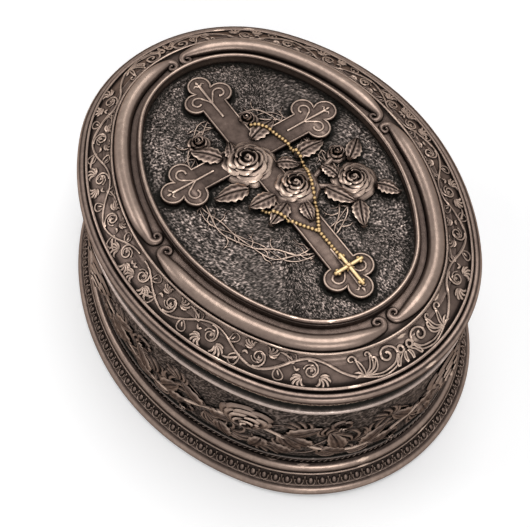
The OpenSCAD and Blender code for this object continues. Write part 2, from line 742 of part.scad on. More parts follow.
module bead_string(path) {
    total = strand_len(path, len(path) - 1);
    count = floor(total / (2 * bead_r + bead_gap));
    for (i = [0 : count - 1]) {
        p = along(path, total * i / count);
        translate([p[0], p[1], panel_z + relief_h(p[0], p[1]) + 0.6 * bead_r]) sphere(bead_r, $fn = 20);
    }
}

module rosary_beads() {
    color(gold) {
        bead_string([for (p = right_strand) on_cross(p)]);
        bead_string([for (p = left_strand) on_cross(p)]);
        bead_string([on_cross(strand_join), tail_end]);
    }
}

// Small gold cross with three buds at each end, lying on the foot of the large one
module crucifix_end() {
    bud = 0.62 * crucifix_w;
    circle(bud, $fn = 24);
    for (side = [-1, 1]) translate([-bud, side * bud]) circle(0.8 * bud, $fn = 24);
}

module rosary_crucifix() {
    arm = 0.4 * crucifix_length;
    bud = 0.62 * crucifix_w;
    span = 0.84 * crucifix_length;
    color(gold) translate([crucifix_x, crucifix_y, cross_top_z]) {
        linear_extrude(crucifix_t) {
            translate([bud, -crucifix_w / 2]) square([crucifix_length - 2 * bud, crucifix_w]);
            translate([arm - crucifix_w / 2, bud - span / 2]) square([crucifix_w, span - 2 * bud]);
            translate([crucifix_length - bud, 0]) crucifix_end();
            translate([bud, 0]) rotate(180) crucifix_end();
            for (side = [-1, 1]) translate([arm, side * (span / 2 - bud)]) rotate(90 * side) crucifix_end();
        }
        translate([arm, 0, crucifix_t]) sphere(0.6 * crucifix_w, $fn = 20);
    }
}

base_felt();
base_foot();
egg_row();
foot_leaf_band();
base_wall();
frieze_vine();
frieze_roses();
frieze_leaves();
floor_lining();
lid_shell();
lid_leaf_band();
rim_scrollwork();
medallion_panel();
medallion_rim();
frame_scroll_head_left();
frame_scroll_head_right();
frame_scroll_foot_left();
frame_scroll_foot_right();
cross();
thorn_wreath();
rose_blooms();
rose_leaves();
rosary_beads();
rosary_crucifix();
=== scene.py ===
"""Oval footed rosary box with a lift-off lid, in antiqued cast bronze.

Lengths here are in millimetres until a mesh is finished, and then turned into metres.
A place on a moulding is an inset from the foot's outer edge and a height above the table.
Every moulding follows one oval of four tangent arcs set out by a 3-4-5 triangle.
"""
import math

import bpy
import numpy as np
from mathutils import Matrix, Vector
from mathutils.bvhtree import BVHTree


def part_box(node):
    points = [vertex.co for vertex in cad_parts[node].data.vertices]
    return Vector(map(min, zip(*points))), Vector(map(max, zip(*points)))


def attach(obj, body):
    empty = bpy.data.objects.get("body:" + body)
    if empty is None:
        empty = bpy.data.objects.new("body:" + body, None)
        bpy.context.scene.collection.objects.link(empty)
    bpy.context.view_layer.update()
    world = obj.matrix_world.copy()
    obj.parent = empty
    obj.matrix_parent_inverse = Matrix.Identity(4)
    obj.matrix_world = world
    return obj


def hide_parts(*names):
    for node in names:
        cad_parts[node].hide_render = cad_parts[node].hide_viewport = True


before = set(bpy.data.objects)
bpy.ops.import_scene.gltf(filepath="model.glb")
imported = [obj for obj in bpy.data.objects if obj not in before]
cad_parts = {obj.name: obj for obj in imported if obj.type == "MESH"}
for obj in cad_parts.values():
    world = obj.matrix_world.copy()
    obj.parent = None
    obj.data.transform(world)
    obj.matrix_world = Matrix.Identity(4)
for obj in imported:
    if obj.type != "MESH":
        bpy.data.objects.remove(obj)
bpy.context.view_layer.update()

MM = 0.001

# The oval: end arcs round (END_C, 0) and side arcs round (0, -SIDE_C)
HALF_L = round(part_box("base_foot")[1][0] / MM)
HALF_W = round(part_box("base_foot")[1][1] / MM)
GAP = HALF_L - HALF_W
END_C = 1.5 * GAP
SIDE_C = 2 * GAP
END_R = HALF_L - END_C
SIDE_R = HALF_W + SIDE_C
JOINT = math.degrees(math.atan2(4, 3))

# Foot
FOOT_Z = 0.3
FLOOR_Z = 4.3
FOOT_BEAD = (1.9, 2.01, 1.9)
EGG_LOW = (1.615, 4.005)
EGG_HIGH = (3.815, 6.805)
FOOT_FILLET = (4.115, 7.255, 0.45)
FOOT_TORUS = (5.815, 8.53, 1.7)
FOOT_TOP_Z = 10.43
FELT_INSET = 3.0
FELT_T = 1.0

# Wall
FOOT_BAND = (6.715, 10.99, 0.7)
WALL_BEAD = (6.465, 13.03, 0.45)
WALL_LOW = (6.615, 13.48)
WALL_HIGH = (8.115, 42.28)
MOUTH_BEAD = (8.215, 42.98, 0.7)
SEAT = (9.315, 44.38)
MOUTH_I = 12.015
LINING_T = 1.2
LINING_GAP = 0.5

# Lid
LEAF_LOW = (9.115, 45.68)
LEAF_HIGH = (8.315, 48.88)
LID_TORUS = (8.815, 50.38, 1.5)
LID_FILLET = (10.115, 52.38, 0.45)
BAND_LOW = (10.515, 52.58)
BAND_HIGH = (14.515, 54.88)
CAVETTO = (14.815, 56.48, 1.6)
FRAME_Z = 56.18
THREAD = (16.815, 56.18, 0.35)
RING_I = (12.415, 14.415)
RING_Z = 41.38
CEILING_Z = 51.58

# Medallion
SCROLL_I = 19.315
SCROLL_R = 2.1
RIM_BEAD = (23.815, 57.88, 0.6)
PANEL_I = 24.295
PANEL_Z = 55.58
PANEL_T = 2.0
CROSS_T = 1.6
CROSS_TOP = PANEL_Z + CROSS_T

# What repeats round the bands
EGGS_PER_QUARTER = 29
FOOT_LEAVES = 220
LEAF_TIPS = 160
FRIEZE_UNITS = 6

# Stippled grounds: how fine their meshes are, and how high their grain stands
WALL_ROWS = 70
WALL_GRAIN_H = 0.22
PANEL_CELLS = (330, 250)
PANEL_GRAIN_H = 0.4

noise_rng = np.random.default_rng(11)


# Points of the oval

def oval_xy(t, inset):
    """Point whose normal points at angle t, in degrees, at an inset."""
    t = np.radians(np.asarray(t, float))
    nx, ny = np.cos(t), np.sin(t)
    on_end = np.degrees(np.arctan2(np.abs(ny), np.abs(nx))) < JOINT
    x = np.where(on_end, np.sign(nx) * END_C + (END_R - inset) * nx, (SIDE_R - inset) * nx)
    y = np.where(on_end, (END_R - inset) * ny, (SIDE_R - inset) * ny - np.sign(ny) * SIDE_C)
    return x, y


def quarter_len(inset):
    """Length of a quarter of the oval at an inset."""
    return math.radians(JOINT) * (END_R - inset) + math.radians(90 - JOINT) * (SIDE_R - inset)


def oval_t(s, inset):
    """Angle of the normal at arc length s from +X."""
    s = np.asarray(s, float)
    end = math.radians(JOINT) * (END_R - inset)
    quarter = quarter_len(inset)
    n = np.floor(s / quarter)
    even = n % 2 == 0
    r = np.where(even, s - n * quarter, (n + 1) * quarter - s)
    t = np.where(r < end, r / end * JOINT, JOINT + (r - end) / (quarter - end) * (90 - JOINT))
    return np.where(even, 90 * n + t, 90 * (n + 1) - t)


def inset_of(x, y):
    """Inset of a point, the other way round from oval_xy."""
    x, y = np.abs(x), np.abs(y)
    on_end = (x > END_C) & (3 * y < 4 * (x - END_C))
    return np.where(on_end, END_R - np.hypot(x - END_C, y), SIDE_R - np.hypot(x, y + SIDE_C))


# A ground turns (u along, v across, h above) into a point
def on_panel(u, v, h):
    """Ground of the medallion's flat panel."""
    return np.stack([u, v, PANEL_Z + h], -1)


def on_slope(low, high):
    """Ground of a sloping band round the box, with v measured up the slope."""
    (i0, z0), (i1, z1) = low, high
    width = math.hypot(i1 - i0, z1 - z0)
    c, s = (i1 - i0) / width, (z1 - z0) / width
    mid = (i0 + i1) / 2

    def ground(u, v, h):
        x, y = oval_xy(oval_t(u, mid), i0 + v * c - h * s)
        return np.stack([x, y, z0 + v * s + h * c], -1)

    ground.width = width
    ground.quarter = quarter_len(mid)
    return ground


def on_profile(points):
    """Ground that follows a profile of (inset, z) points round the box, with v measured along it."""
    p = np.asarray(points, float)
    at = np.concatenate([[0], np.cumsum(np.hypot(*np.diff(p, axis=0).T))])
    way = np.gradient(p, at, axis=0)
    way /= np.linalg.norm(way, axis=1)[:, None]
    mid = float(np.interp(at[-1] / 2, at, p[:, 0]))

    def ground(u, v, h):
        i, z, c, s = [np.interp(v, at, a) for a in (p[:, 0], p[:, 1], way[:, 0], way[:, 1])]
        x, y = oval_xy(oval_t(u, mid), i - h * s)
        return np.stack([x, y, z + h * c], -1)

    ground.width = float(at[-1])
    ground.quarter = quarter_len(mid)
    return ground


on_egg_band = on_slope(EGG_LOW, EGG_HIGH)
on_wall = on_slope(WALL_LOW, WALL_HIGH)
on_leaf_band = on_slope(LEAF_LOW, LEAF_HIGH)


# Modelling helpers

def deselect():
    if bpy.context.mode != "OBJECT":
        bpy.ops.object.mode_set(mode="OBJECT")
    bpy.ops.object.select_all(action="DESELECT")


def pick(*objects):
    deselect()
    for o in objects:
        o.select_set(True)
    bpy.context.view_layer.objects.active = objects[0]


def edit_all(obj):
    pick(obj)
    bpy.ops.object.mode_set(mode="EDIT")
    bpy.ops.mesh.select_all(action="SELECT")


def coords(obj):
    co = np.empty(3 * len(obj.data.vertices))
    obj.data.vertices.foreach_get("co", co)
    return co.reshape(-1, 3)


def set_coords(obj, co):
    obj.data.vertices.foreach_set("co", np.ascontiguousarray(co, float).ravel())
    obj.data.update()


def kept_patina_and_painted_light(obj):
    amount = np.zeros(len(obj.data.vertices), np.float32)
    layer = obj.data.attributes.get("patina")
    if layer:
        layer.data.foreach_get("value", amount)
    return amount


def keep_patina_and_painted_light(obj, amount):
    """Keeps how dark each point is painted, from -1 where it is rubbed or painted bright to 1: patina,
    painted shade and painted highlights.
    """
    layer = obj.data.attributes.get("patina") or obj.data.attributes.new("patina", "FLOAT", "POINT")
    layer.data.foreach_set("value", np.ascontiguousarray(np.clip(amount, -1, 1), dtype=np.float32))


def paint_patina_shade_and_highlights(obj, valleys_patina_and_shade, crests_worn_and_highlit=(), flanks=0.3):
    """Lays patina on flanks and in valleys, with painted shade in gaps and painted reflection stripes where a
    valley is drawn along a bead, and lightens crests as rubbed wear and painted highlights.

    Each runs from one (inset, height) to another, with a reach and, for a valley, an amount.
    """
    co = coords(obj) / MM
    i, z = inset_of(co[:, 0], co[:, 1]), co[:, 2]

    def near(a, b, reach):
        di, dz = b[0] - a[0], b[1] - a[1]
        f = np.clip(((i - a[0]) * di + (z - a[1]) * dz) / max(di * di + dz * dz, 1e-9), 0, 1)
        return np.exp(-(np.hypot(i - a[0] - f * di, z - a[1] - f * dz) / reach) ** 2)

    amount = np.full(len(co), flanks)
    # Crests are lightened: rubbed wear and painted highlights.
    for a, b, reach in crests_worn_and_highlit:
        amount -= 0.62 * near(a, b, reach)
    # Valleys darken: patina in the hollows, and painted shade and painted reflections where they are drawn
    # for them.
    for a, b, reach, most in valleys_patina_and_shade:
        amount = np.maximum(amount, most * near(a, b, reach))
    keep_patina_and_painted_light(obj, amount)


def wrap(obj, ground, crest=0.4):
    """Bends a piece drawn flat in millimetres onto its ground, in metres, with patina up to its crest."""
    co = coords(obj)
    keep_patina_and_painted_light(obj, np.maximum(kept_patina_and_painted_light(obj), np.clip(0.9 * (1 - co[:, 2] / crest), 0, 1)))
    set_coords(obj, ground(co[:, 0], co[:, 1], co[:, 2]) * MM)
    return obj


def join(name, pieces):
    pick(*pieces)
    if len(pieces) > 1:
        bpy.ops.object.join()
    obj = bpy.context.view_layer.objects.active
    obj.name = name
    obj.data.name = name
    return obj


def outward(obj, merge=1e-7):
    """Merges doubles and turns every face outwards."""
    edit_all(obj)
    bpy.ops.mesh.remove_doubles(threshold=merge)
    bpy.ops.mesh.normals_make_consistent(inside=False)
    bpy.ops.object.mode_set(mode="OBJECT")


def smooth(obj, angle=40):
    pick(obj)
    bpy.ops.object.shade_smooth_by_angle(angle=math.radians(angle))


def copy_of(obj):
    new = obj.copy()
    new.data = obj.data.copy()
    bpy.context.collection.objects.link(new)
    return new


def arc(centre, a0, a1, n):
    """Points of a bead's profile. Angle 180 faces outwards and 90 up."""
    i, z, r = centre
    turns = [math.radians(a0 + (a1 - a0) * k / n) for k in range(n + 1)]
    return [(i + r * math.cos(a), z + r * math.sin(a)) for a in turns]


def line(a, b, n):
    return [(a[0] + (b[0] - a[0]) * k / n, a[1] + (b[1] - a[1]) * k / n) for k in range(1, n)]


on_band = on_profile([BAND_LOW] + line(BAND_LOW, BAND_HIGH, 6) + [BAND_HIGH] + arc(CAVETTO, 274, 350, 8))

END_STEPS = 84
SIDE_STEPS = 72


def moulding(name, profile, closed=True, ends=END_STEPS, sides=SIDE_STEPS, fill=False):
    """Draws a profile where an end arc meets a side arc, and spins it round the four arcs."""
    away = Vector((math.cos(math.radians(JOINT)), math.sin(math.radians(JOINT))))
    points = profile + profile[:1] if closed else profile
    track = [Vector(((END_C + (END_R - i) * away.x) * MM, (END_R - i) * away.y * MM, z * MM))
             for i, z in points]
    deselect()
    bpy.ops.mesh.primitive_plane_add(size=MM)
    obj = bpy.context.object
    bpy.ops.object.mode_set(mode="EDIT")
    bpy.ops.mesh.merge(type="CENTER")
    bpy.ops.transform.translate(value=track[0])
    for a, b in zip(track, track[1:]):
        bpy.ops.mesh.extrude_region_move(TRANSFORM_OT_translate={"value": b - a})
    bpy.ops.mesh.select_all(action="SELECT")
    if closed:
        bpy.ops.mesh.remove_doubles(threshold=1e-7)
    end_turn = math.radians(2 * JOINT)
    side_turn = math.radians(180 - 2 * JOINT)
    spins = [(0, -SIDE_C, side_turn, sides), (-END_C, 0, end_turn, ends),
             (0, SIDE_C, side_turn, sides), (END_C, 0, end_turn, ends)]
    for x, y, turn, steps in spins:
        bpy.ops.mesh.spin(steps=steps, angle=turn, center=(x * MM, y * MM, 0), axis=(0, 0, -1))
    bpy.ops.mesh.select_all(action="SELECT")
    bpy.ops.mesh.remove_doubles(threshold=5e-7)
    if fill:
        bpy.ops.mesh.fill_holes(sides=0)
        bpy.ops.mesh.select_all(action="SELECT")
    bpy.ops.mesh.normals_make_consistent(inside=False)
    bpy.ops.object.mode_set(mode="OBJECT")
    obj.name = name
    obj.data.name = name
    smooth(obj, 32)
    return obj


def flat_grid(name, nu, nv, shape, thick=0.0, lip=None):
    """Grid primitive whose points shape(u, v) puts in place, with u and v from 0 to 1.

    Where lip(u, v) is given, it says how much patina lies there.
    """
    deselect()
    bpy.ops.mesh.primitive_grid_add(x_subdivisions=nu, y_subdivisions=nv, size=2)
    obj = bpy.context.object
    obj.name = name
    co = coords(obj)
    u, v = (co[:, 0] + 1) / 2, (co[:, 1] + 1) / 2
    set_coords(obj, shape(u, v))
    if lip:
        keep_patina_and_painted_light(obj, lip(u, v))
    if thick:
        solid = obj.modifiers.new("thickness", "SOLIDIFY")
        solid.thickness = thick
        solid.offset = -1
        bpy.ops.object.modifier_apply(modifier=solid.name)
    return obj


def curved(points, n):
    """n points of a smooth curve through the given ones."""
    p = np.asarray(points, float)
    p = np.vstack([2 * p[0] - p[1], p, 2 * p[-1] - p[-2]])
    out = []
    for f in np.linspace(0, len(p) - 3, n):
        k = min(int(f), len(p) - 4)
        t = f - k
        a, b, c, d = p[k], p[k + 1], p[k + 2], p[k + 3]
        out.append(0.5 * (2 * b + (c - a) * t + (2 * a - 5 * b + 4 * c - d) * t * t
                          + (3 * b - a - 3 * c + d) * t ** 3))
    return np.array(out)


def spiral(u, v, a, turn, r0, r1, n=22):
    """Spiral round (u, v) from angle a, winding in from radius r0 to r1."""
    f = np.linspace(0, 1, n)
    r = r0 * (r1 / r0) ** f
    q = np.radians(a + turn * f)
    return np.stack([u + r * np.cos(q), v + r * np.sin(q)], -1)


def tapered(n, r0, r1, tip=0.0):
    """Radii along a stroke, drawn to a point over the share tip at its far end."""
    f = np.linspace(0, 1, n)
    r = r0 + (r1 - r0) * f
    if tip:
        r = r * np.sqrt(np.clip((1.02 - f) / tip, 0, 1))
    return r


def drop(n, r):
    """Radii of a leaf-shaped stroke, pointed at both ends."""
    f = np.linspace(0, 1, n)
    return r * (0.12 + 0.88 * np.sin(np.pi * f ** 0.8) ** 0.8)


def acanthus(u, v, a, size, thick, lobes=5, way=1):
    """Curled leaf whose lobes fan out from its root and hook over to one side."""
    out = []
    for k in range(lobes):
        f = k / (lobes - 1)
        q = math.radians(a + way * 105 * (f - 0.4))
        reach = size * (0.55 + 0.45 * math.sin(math.pi * (0.15 + 0.75 * f)))
        knee = (u + 0.6 * reach * math.cos(q), v + 0.6 * reach * math.sin(q))
        tip = (u + reach * math.cos(q + 0.35 * way), v + reach * math.sin(q + 0.35 * way))
        bent = q + 1.9 * way
        hook = (tip[0] + 0.22 * size * math.cos(bent), tip[1] + 0.22 * size * math.sin(bent))
        out.append((curved([(u, v), knee, tip, hook], 9), drop(9, thick)))
    return out


def strokes(name, lines, sides=2, cyclic=False):
    """Round strokes along lines of (points, radii), drawn as one curve and made a mesh."""
    curve = bpy.data.curves.new(name, "CURVE")
    curve.dimensions = "3D"
    curve.bevel_depth = 1.0
    curve.bevel_resolution = sides
    curve.use_fill_caps = True
    for points, radii in lines:
        points = np.asarray(points, float)
        if points.shape[1] == 2:
            points = np.column_stack([points, np.zeros(len(points))])
        spline = curve.splines.new("POLY")
        spline.points.add(len(points) - 1)
        spline.points.foreach_set("co", np.column_stack([points, np.ones(len(points))]).ravel())
        spline.points.foreach_set("radius", np.broadcast_to(radii, len(points)).astype(float))
        spline.use_cyclic_u = cyclic
    obj = bpy.data.objects.new(name, curve)
    bpy.context.collection.objects.link(obj)
    pick(obj)
    bpy.ops.object.convert(target="MESH")
    return bpy.context.object


def value_noise(x, y, cell, seed=0):
    """Smooth random heights from 0 to 1 on a lattice of the given cell."""
    table = np.random.default_rng(seed).random((256, 256))
    gx, gy = x / cell, y / cell
    ix, iy = np.floor(gx).astype(int), np.floor(gy).astype(int)
    fx, fy = gx - ix, gy - iy
    fx, fy = fx * fx * (3 - 2 * fx), fy * fy * (3 - 2 * fy)

    def near(a, b):
        return table[(ix + a) % 256, (iy + b) % 256]

    low = near(0, 0) * (1 - fx) + near(1, 0) * fx
    high = near(0, 1) * (1 - fx) + near(1, 1) * fx
    return low * (1 - fy) + high * fy


# Materials

def node(tree, kind, at=(0, 0), **values):
    n = tree.nodes.new(kind)
    n.location = at
    for key, value in values.items():
        setattr(n, key, value)
    return n


def ramp(tree, stops, source):
    n = node(tree, "ShaderNodeValToRGB")
    while len(n.color_ramp.elements) < len(stops):
        n.color_ramp.elements.new(0.5)
    for element, (place, colour) in zip(n.color_ramp.elements, stops):
        element.position = place
        element.color = (*colour, 1) if len(colour) == 3 else colour
    tree.links.new(source, n.inputs["Fac"])
    return n.outputs["Color"]


def math_node(tree, operation, a, b=None, clamp=False):
    n = node(tree, "ShaderNodeMath", operation=operation, use_clamp=clamp)
    for socket, value in zip(n.inputs, (a, b)):
        if value is None:
            continue
        if isinstance(value, (int, float)):
            socket.default_value = value
        else:
            tree.links.new(value, socket)
    return n.outputs[0]


def noise(tree, where, scale, detail=4.0, roughness=0.6):
    n = node(tree, "ShaderNodeTexNoise")
    n.inputs["Scale"].default_value = scale
    n.inputs["Detail"].default_value = detail
    n.inputs["Roughness"].default_value = roughness
    tree.links.new(where, n.inputs["Vector"])
    return n.outputs["Fac"]


def antiqued(name, tones, rough=(0.62, 0.3), edge=5.0, cavity=1.0, reach=0.0022, lift=0.0,
             mottle=0.25, grain=0.25, grain_scale=2600.0, metallic=0.85, patina=0.45, open_tone=0.6):
    """Metal whose recesses hold dark patina, with painted shade from ambient occlusion, and whose edges are
    rubbed bright.

    tones run from patina to bare metal, and rough gives the roughness of both. edge, cavity and patina say
    how strongly edges, recesses with their painted shade, and the kept patina and painted light count, and
    lift and open_tone how bare the rest is.
    """
    mat = bpy.data.materials.new(name)
    mat.use_nodes = True
    tree = mat.node_tree
    shader = tree.nodes["Principled BSDF"]
    where = node(tree, "ShaderNodeTexCoord").outputs["Object"]
    broad = noise(tree, where, 45.0, 3.0)
    fine = noise(tree, where, 700.0, 5.0, 0.65)
    # Ambient occlusion darkens hollows and the places where parts meet: patina in the hollows and painted
    # shade.
    occlusion = node(tree, "ShaderNodeAmbientOcclusion", samples=6)
    occlusion.inputs["Distance"].default_value = reach
    shade = math_node(tree, "POWER", occlusion.outputs["AO"], 1.0 + cavity)
    bent = node(tree, "ShaderNodeNewGeometry").outputs["Pointiness"]
    rub = math_node(tree, "MULTIPLY", math_node(tree, "SUBTRACT", bent, 0.5), edge)
    rub = math_node(tree, "MAXIMUM", math_node(tree, "MINIMUM", rub, 0.4), -0.35)
    patch = math_node(tree, "MULTIPLY", math_node(tree, "SUBTRACT", broad, 0.5), mottle)
    speck = math_node(tree, "MULTIPLY", math_node(tree, "SUBTRACT", fine, 0.5), mottle)
    worn = math_node(tree, "MULTIPLY", shade, open_tone)
    worn = math_node(tree, "ADD", worn, rub)
    worn = math_node(tree, "ADD", worn, patch)
    worn = math_node(tree, "ADD", worn, speck)
    # The kept attribute darkens or lightens: patina, painted shade and painted highlights.
    settled_patina_and_light = node(tree, "ShaderNodeAttribute", attribute_name="patina").outputs["Fac"]
    worn = math_node(tree, "SUBTRACT", worn, math_node(tree, "MULTIPLY", settled_patina_and_light, patina))
    worn = math_node(tree, "ADD", worn, lift, clamp=True)
    tree.links.new(ramp(tree, tones, worn), shader.inputs["Base Color"])
    gloss = node(tree, "ShaderNodeMapRange")
    gloss.inputs["To Min"].default_value = rough[0]
    gloss.inputs["To Max"].default_value = rough[1]
    tree.links.new(worn, gloss.inputs["Value"])
    tree.links.new(gloss.outputs["Result"], shader.inputs["Roughness"])
    shader.inputs["Metallic"].default_value = metallic
    shader.inputs["Specular Tint"].default_value = (0.45, 0.37, 0.32, 1)
    pits = noise(tree, where, grain_scale, 3.0, 0.7)
    bump = node(tree, "ShaderNodeBump")
    bump.inputs["Strength"].default_value = grain
    bump.inputs["Distance"].default_value = 0.0001
    tree.links.new(pits, bump.inputs["Height"])
    tree.links.new(bump.outputs["Normal"], shader.inputs["Normal"])
    return mat


BRONZE_TONES = [(0.0, (0.008, 0.006, 0.005)), (0.25, (0.028, 0.020, 0.017)), (0.5, (0.110, 0.079, 0.066)),
                (0.72, (0.25, 0.185, 0.152)), (1.0, (0.66, 0.50, 0.40))]
DARK_TONES = [(0.0, (0.008, 0.008, 0.007)), (0.3, (0.030, 0.026, 0.023)), (0.55, (0.105, 0.086, 0.077)),
              (0.8, (0.27, 0.215, 0.19)), (1.0, (0.50, 0.40, 0.35))]
GOLD_TONES = [(0.0, (0.05, 0.028, 0.012)), (0.4, (0.27, 0.17, 0.08)), (0.75, (0.60, 0.42, 0.21)),
              (1.0, (0.86, 0.67, 0.41))]

cast_bronze = antiqued(
    "cast_bronze", BRONZE_TONES, rough=(0.5, 0.22), cavity=0.6, reach=0.0016, lift=0.05,
    grain=0.15, patina=0.5)
# Bronze lightened for the leaf tips under the lid's torus: a painted highlight on tips that sit in shade.
highlit_tip_bronze = antiqued(
    "highlit_tip_bronze", BRONZE_TONES, rough=(0.55, 0.3), edge=4.0, cavity=0.6, reach=0.0008, lift=0.32, patina=0.85)
relief_bronze = antiqued(
    "relief_bronze", BRONZE_TONES, rough=(0.55, 0.35), edge=2.5, cavity=1.2, reach=0.0012, patina=0.6)
stippled_bronze = antiqued(
    "stippled_bronze", DARK_TONES, rough=(0.6, 0.35), edge=2.0, cavity=0.9, reach=0.0025, lift=0.03,
    grain=0.5, grain_scale=1900.0, patina=0.75, open_tone=0.85)
frieze_bronze = antiqued(
    "frieze_bronze", BRONZE_TONES, rough=(0.5, 0.28), edge=8.0, cavity=1.6, reach=0.003, patina=0.55)
rose_bronze = antiqued(
    "rose_bronze", BRONZE_TONES, rough=(0.5, 0.28), edge=6.5, cavity=2.2, reach=0.0024, lift=0.1, patina=0.55)
cross_bronze = antiqued(
    "cross_bronze", BRONZE_TONES, rough=(0.62, 0.5), edge=3.0, cavity=1.4, reach=0.0016, lift=-0.12,
    mottle=0.4, patina=0.5)
cross_line_bronze = antiqued(
    "cross_line_bronze", BRONZE_TONES, rough=(0.55, 0.35), edge=3.0, reach=0.0012, patina=0.5)
gold_paint = antiqued(
    "gold_paint", GOLD_TONES, rough=(0.55, 0.38), edge=1.5, cavity=0.8, reach=0.0009, patina=0.3)


def seen_or_reflected(tree):
    """1 for what the camera, a metal or a glass sees, and 0 for the light that falls on the box."""
    path = node(tree, "ShaderNodeLightPath")
    seen = math_node(tree, "ADD", path.outputs["Is Camera Ray"], path.outputs["Is Glossy Ray"], clamp=True)
    return math_node(tree, "ADD", seen, path.outputs["Is Transmission Ray"], clamp=True)


def felt_cloth(name):
    mat = bpy.data.materials.new(name)
    mat.use_nodes = True
    tree = mat.node_tree
    shader = tree.nodes["Principled BSDF"]
    where = node(tree, "ShaderNodeTexCoord").outputs["Object"]
    fibres = noise(tree, where, 1800.0, 6.0, 0.75)
    tone = ramp(tree, [(0.3, (0.006, 0.006, 0.007)), (0.7, (0.035, 0.033, 0.034))], fibres)
    tree.links.new(tone, shader.inputs["Base Color"])
    shader.inputs["Roughness"].default_value = 0.95
    shader.inputs["Sheen Weight"].default_value = 0.35
    bump = node(tree, "ShaderNodeBump")
    bump.inputs["Strength"].default_value = 0.6
    bump.inputs["Distance"].default_value = 0.0002
    tree.links.new(fibres, bump.inputs["Height"])
    tree.links.new(bump.outputs["Normal"], shader.inputs["Normal"])
    return mat


black_felt = felt_cloth("black_felt")


def finished(obj, body, slot, mat, *nodes):
    """Gives a piece its finish and its body, and puts it in place of its CAD nodes. The slot is not used."""
    obj.data.materials.clear()
    obj.data.materials.append(mat)
    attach(obj, body)
    if nodes:
        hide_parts(*nodes)
    return obj


# The box

def make_foot():
    # The bead starts where it meets the foot's underside
    bead_start = 180 + math.degrees(math.acos(0.44))
    profile = ([(MOUTH_I + 1, FELT_T), (FELT_INSET, FELT_T), (FELT_INSET, FOOT_Z)]
               + arc(FOOT_BEAD, bead_start, 98, 18)
               + [EGG_LOW] + line(EGG_LOW, EGG_HIGH, 5) + [EGG_HIGH]
               + arc(FOOT_FILLET, 232, 118, 8)
               + arc(FOOT_TORUS, 208, 66, 18)
               + [(FOOT_BAND[0], FOOT_TOP_Z - 0.25), (FOOT_BAND[0], FOOT_TOP_Z), (MOUTH_I, FOOT_TOP_Z),
                  (MOUTH_I, FLOOR_Z), (MOUTH_I + 1, FLOOR_Z)])
    foot = moulding("base_foot_moulding", profile, closed=False, fill=True)
    band_top = (FOOT_BAND[0], FOOT_TOP_Z)
    # Valleys hold patina; the dark line along the torus's top, at (5.5, 10.2), is a painted reflection, and
    # the foot is darker at its lower edge.
    valleys_patina_and_shade = [((2.0, 4.5), (3.5, 6.4), 0.35, 0.8), ((4.2, 7.75), (4.2, 7.75), 0.22, 0.9),
               (band_top, (band_top[0] - 0.2, band_top[1] - 0.3), 0.5, 0.8),
               ((0.1, 1.0), (0.8, 0.3), 0.4, 0.6), ((5.5, 10.2), (5.4, 10.17), 0.25, 0.85),
               ((4.13, 8.3), (4.13, 8.3), 0.35, 0.85), ((1.1, 3.75), (1.2, 3.8), 0.25, 0.6)]
    # Crests are painted highlights on the torus, fillet and beads, with rubbed wear.
    crests_worn_and_highlit = [((4.75, 9.87), (4.6, 9.73), 0.4), ((3.8, 7.55), (3.8, 7.55), 0.4),
              ((3.8, 7.55), (3.8, 7.55), 0.3), ((0.5, 3.3), (0.3, 3.0), 0.5),
              ((0.35, 3.1), (0.35, 3.1), 0.3), ((1.7, 3.95), (1.7, 3.95), 0.2)]
    paint_patina_shade_and_highlights(foot, valleys_patina_and_shade, crests_worn_and_highlit)
    finished(foot, "base", "bronze", cast_bronze, "base_foot")


def repeated(name, unit, count, pitch, ground, crest=0.4):
    """Copies a flat unit along a band, each copy with its own mesh, and wraps them as one piece."""
    copies = []
    for k in range(count):
        new = copy_of(unit)
        new.data.transform(Matrix.Translation(((k + 0.5) * pitch, 0, 0)))
        copies.append(new)
    bpy.data.objects.remove(unit)
    obj = wrap(join(name, copies), ground, crest)
    smooth(obj, 60)
    return obj


def make_eggs():
    width = on_egg_band.width
    pitch = on_egg_band.quarter / EGGS_PER_QUARTER
    mid = width / 2
    deselect()
    bpy.ops.mesh.primitive_uv_sphere_add(segments=8, ring_count=6, radius=1)
    egg = bpy.context.object
    co = coords(egg)
    set_coords(egg, np.stack([co[:, 0] * 0.62, mid + 0.1 + co[:, 1] * 1.0, co[:, 2] * 0.5], -1))
    keep_patina_and_painted_light(egg, np.full(len(co), 0.35))
    f = np.linspace(-1, 1, 9)
    shell = np.stack([1.12 * np.sin(f * 2.0), mid - 0.15 - 1.32 * np.cos(f * 2.0)], -1)
    dart_top = [(pitch / 2, mid + 1.4), (pitch / 2, mid + 0.2), (pitch / 2, mid - 1.35)]
    marks = strokes("marks", [(shell, 0.3), (curved(dart_top, 5), tapered(5, 0.34, 0.12))], 0)
    unit = join("egg_unit", [egg, marks])
    eggs = repeated("egg_and_dart", unit, 4 * EGGS_PER_QUARTER, pitch, on_egg_band, 0.2)
    finished(eggs, "base", "bronze", relief_bronze, "egg_row")


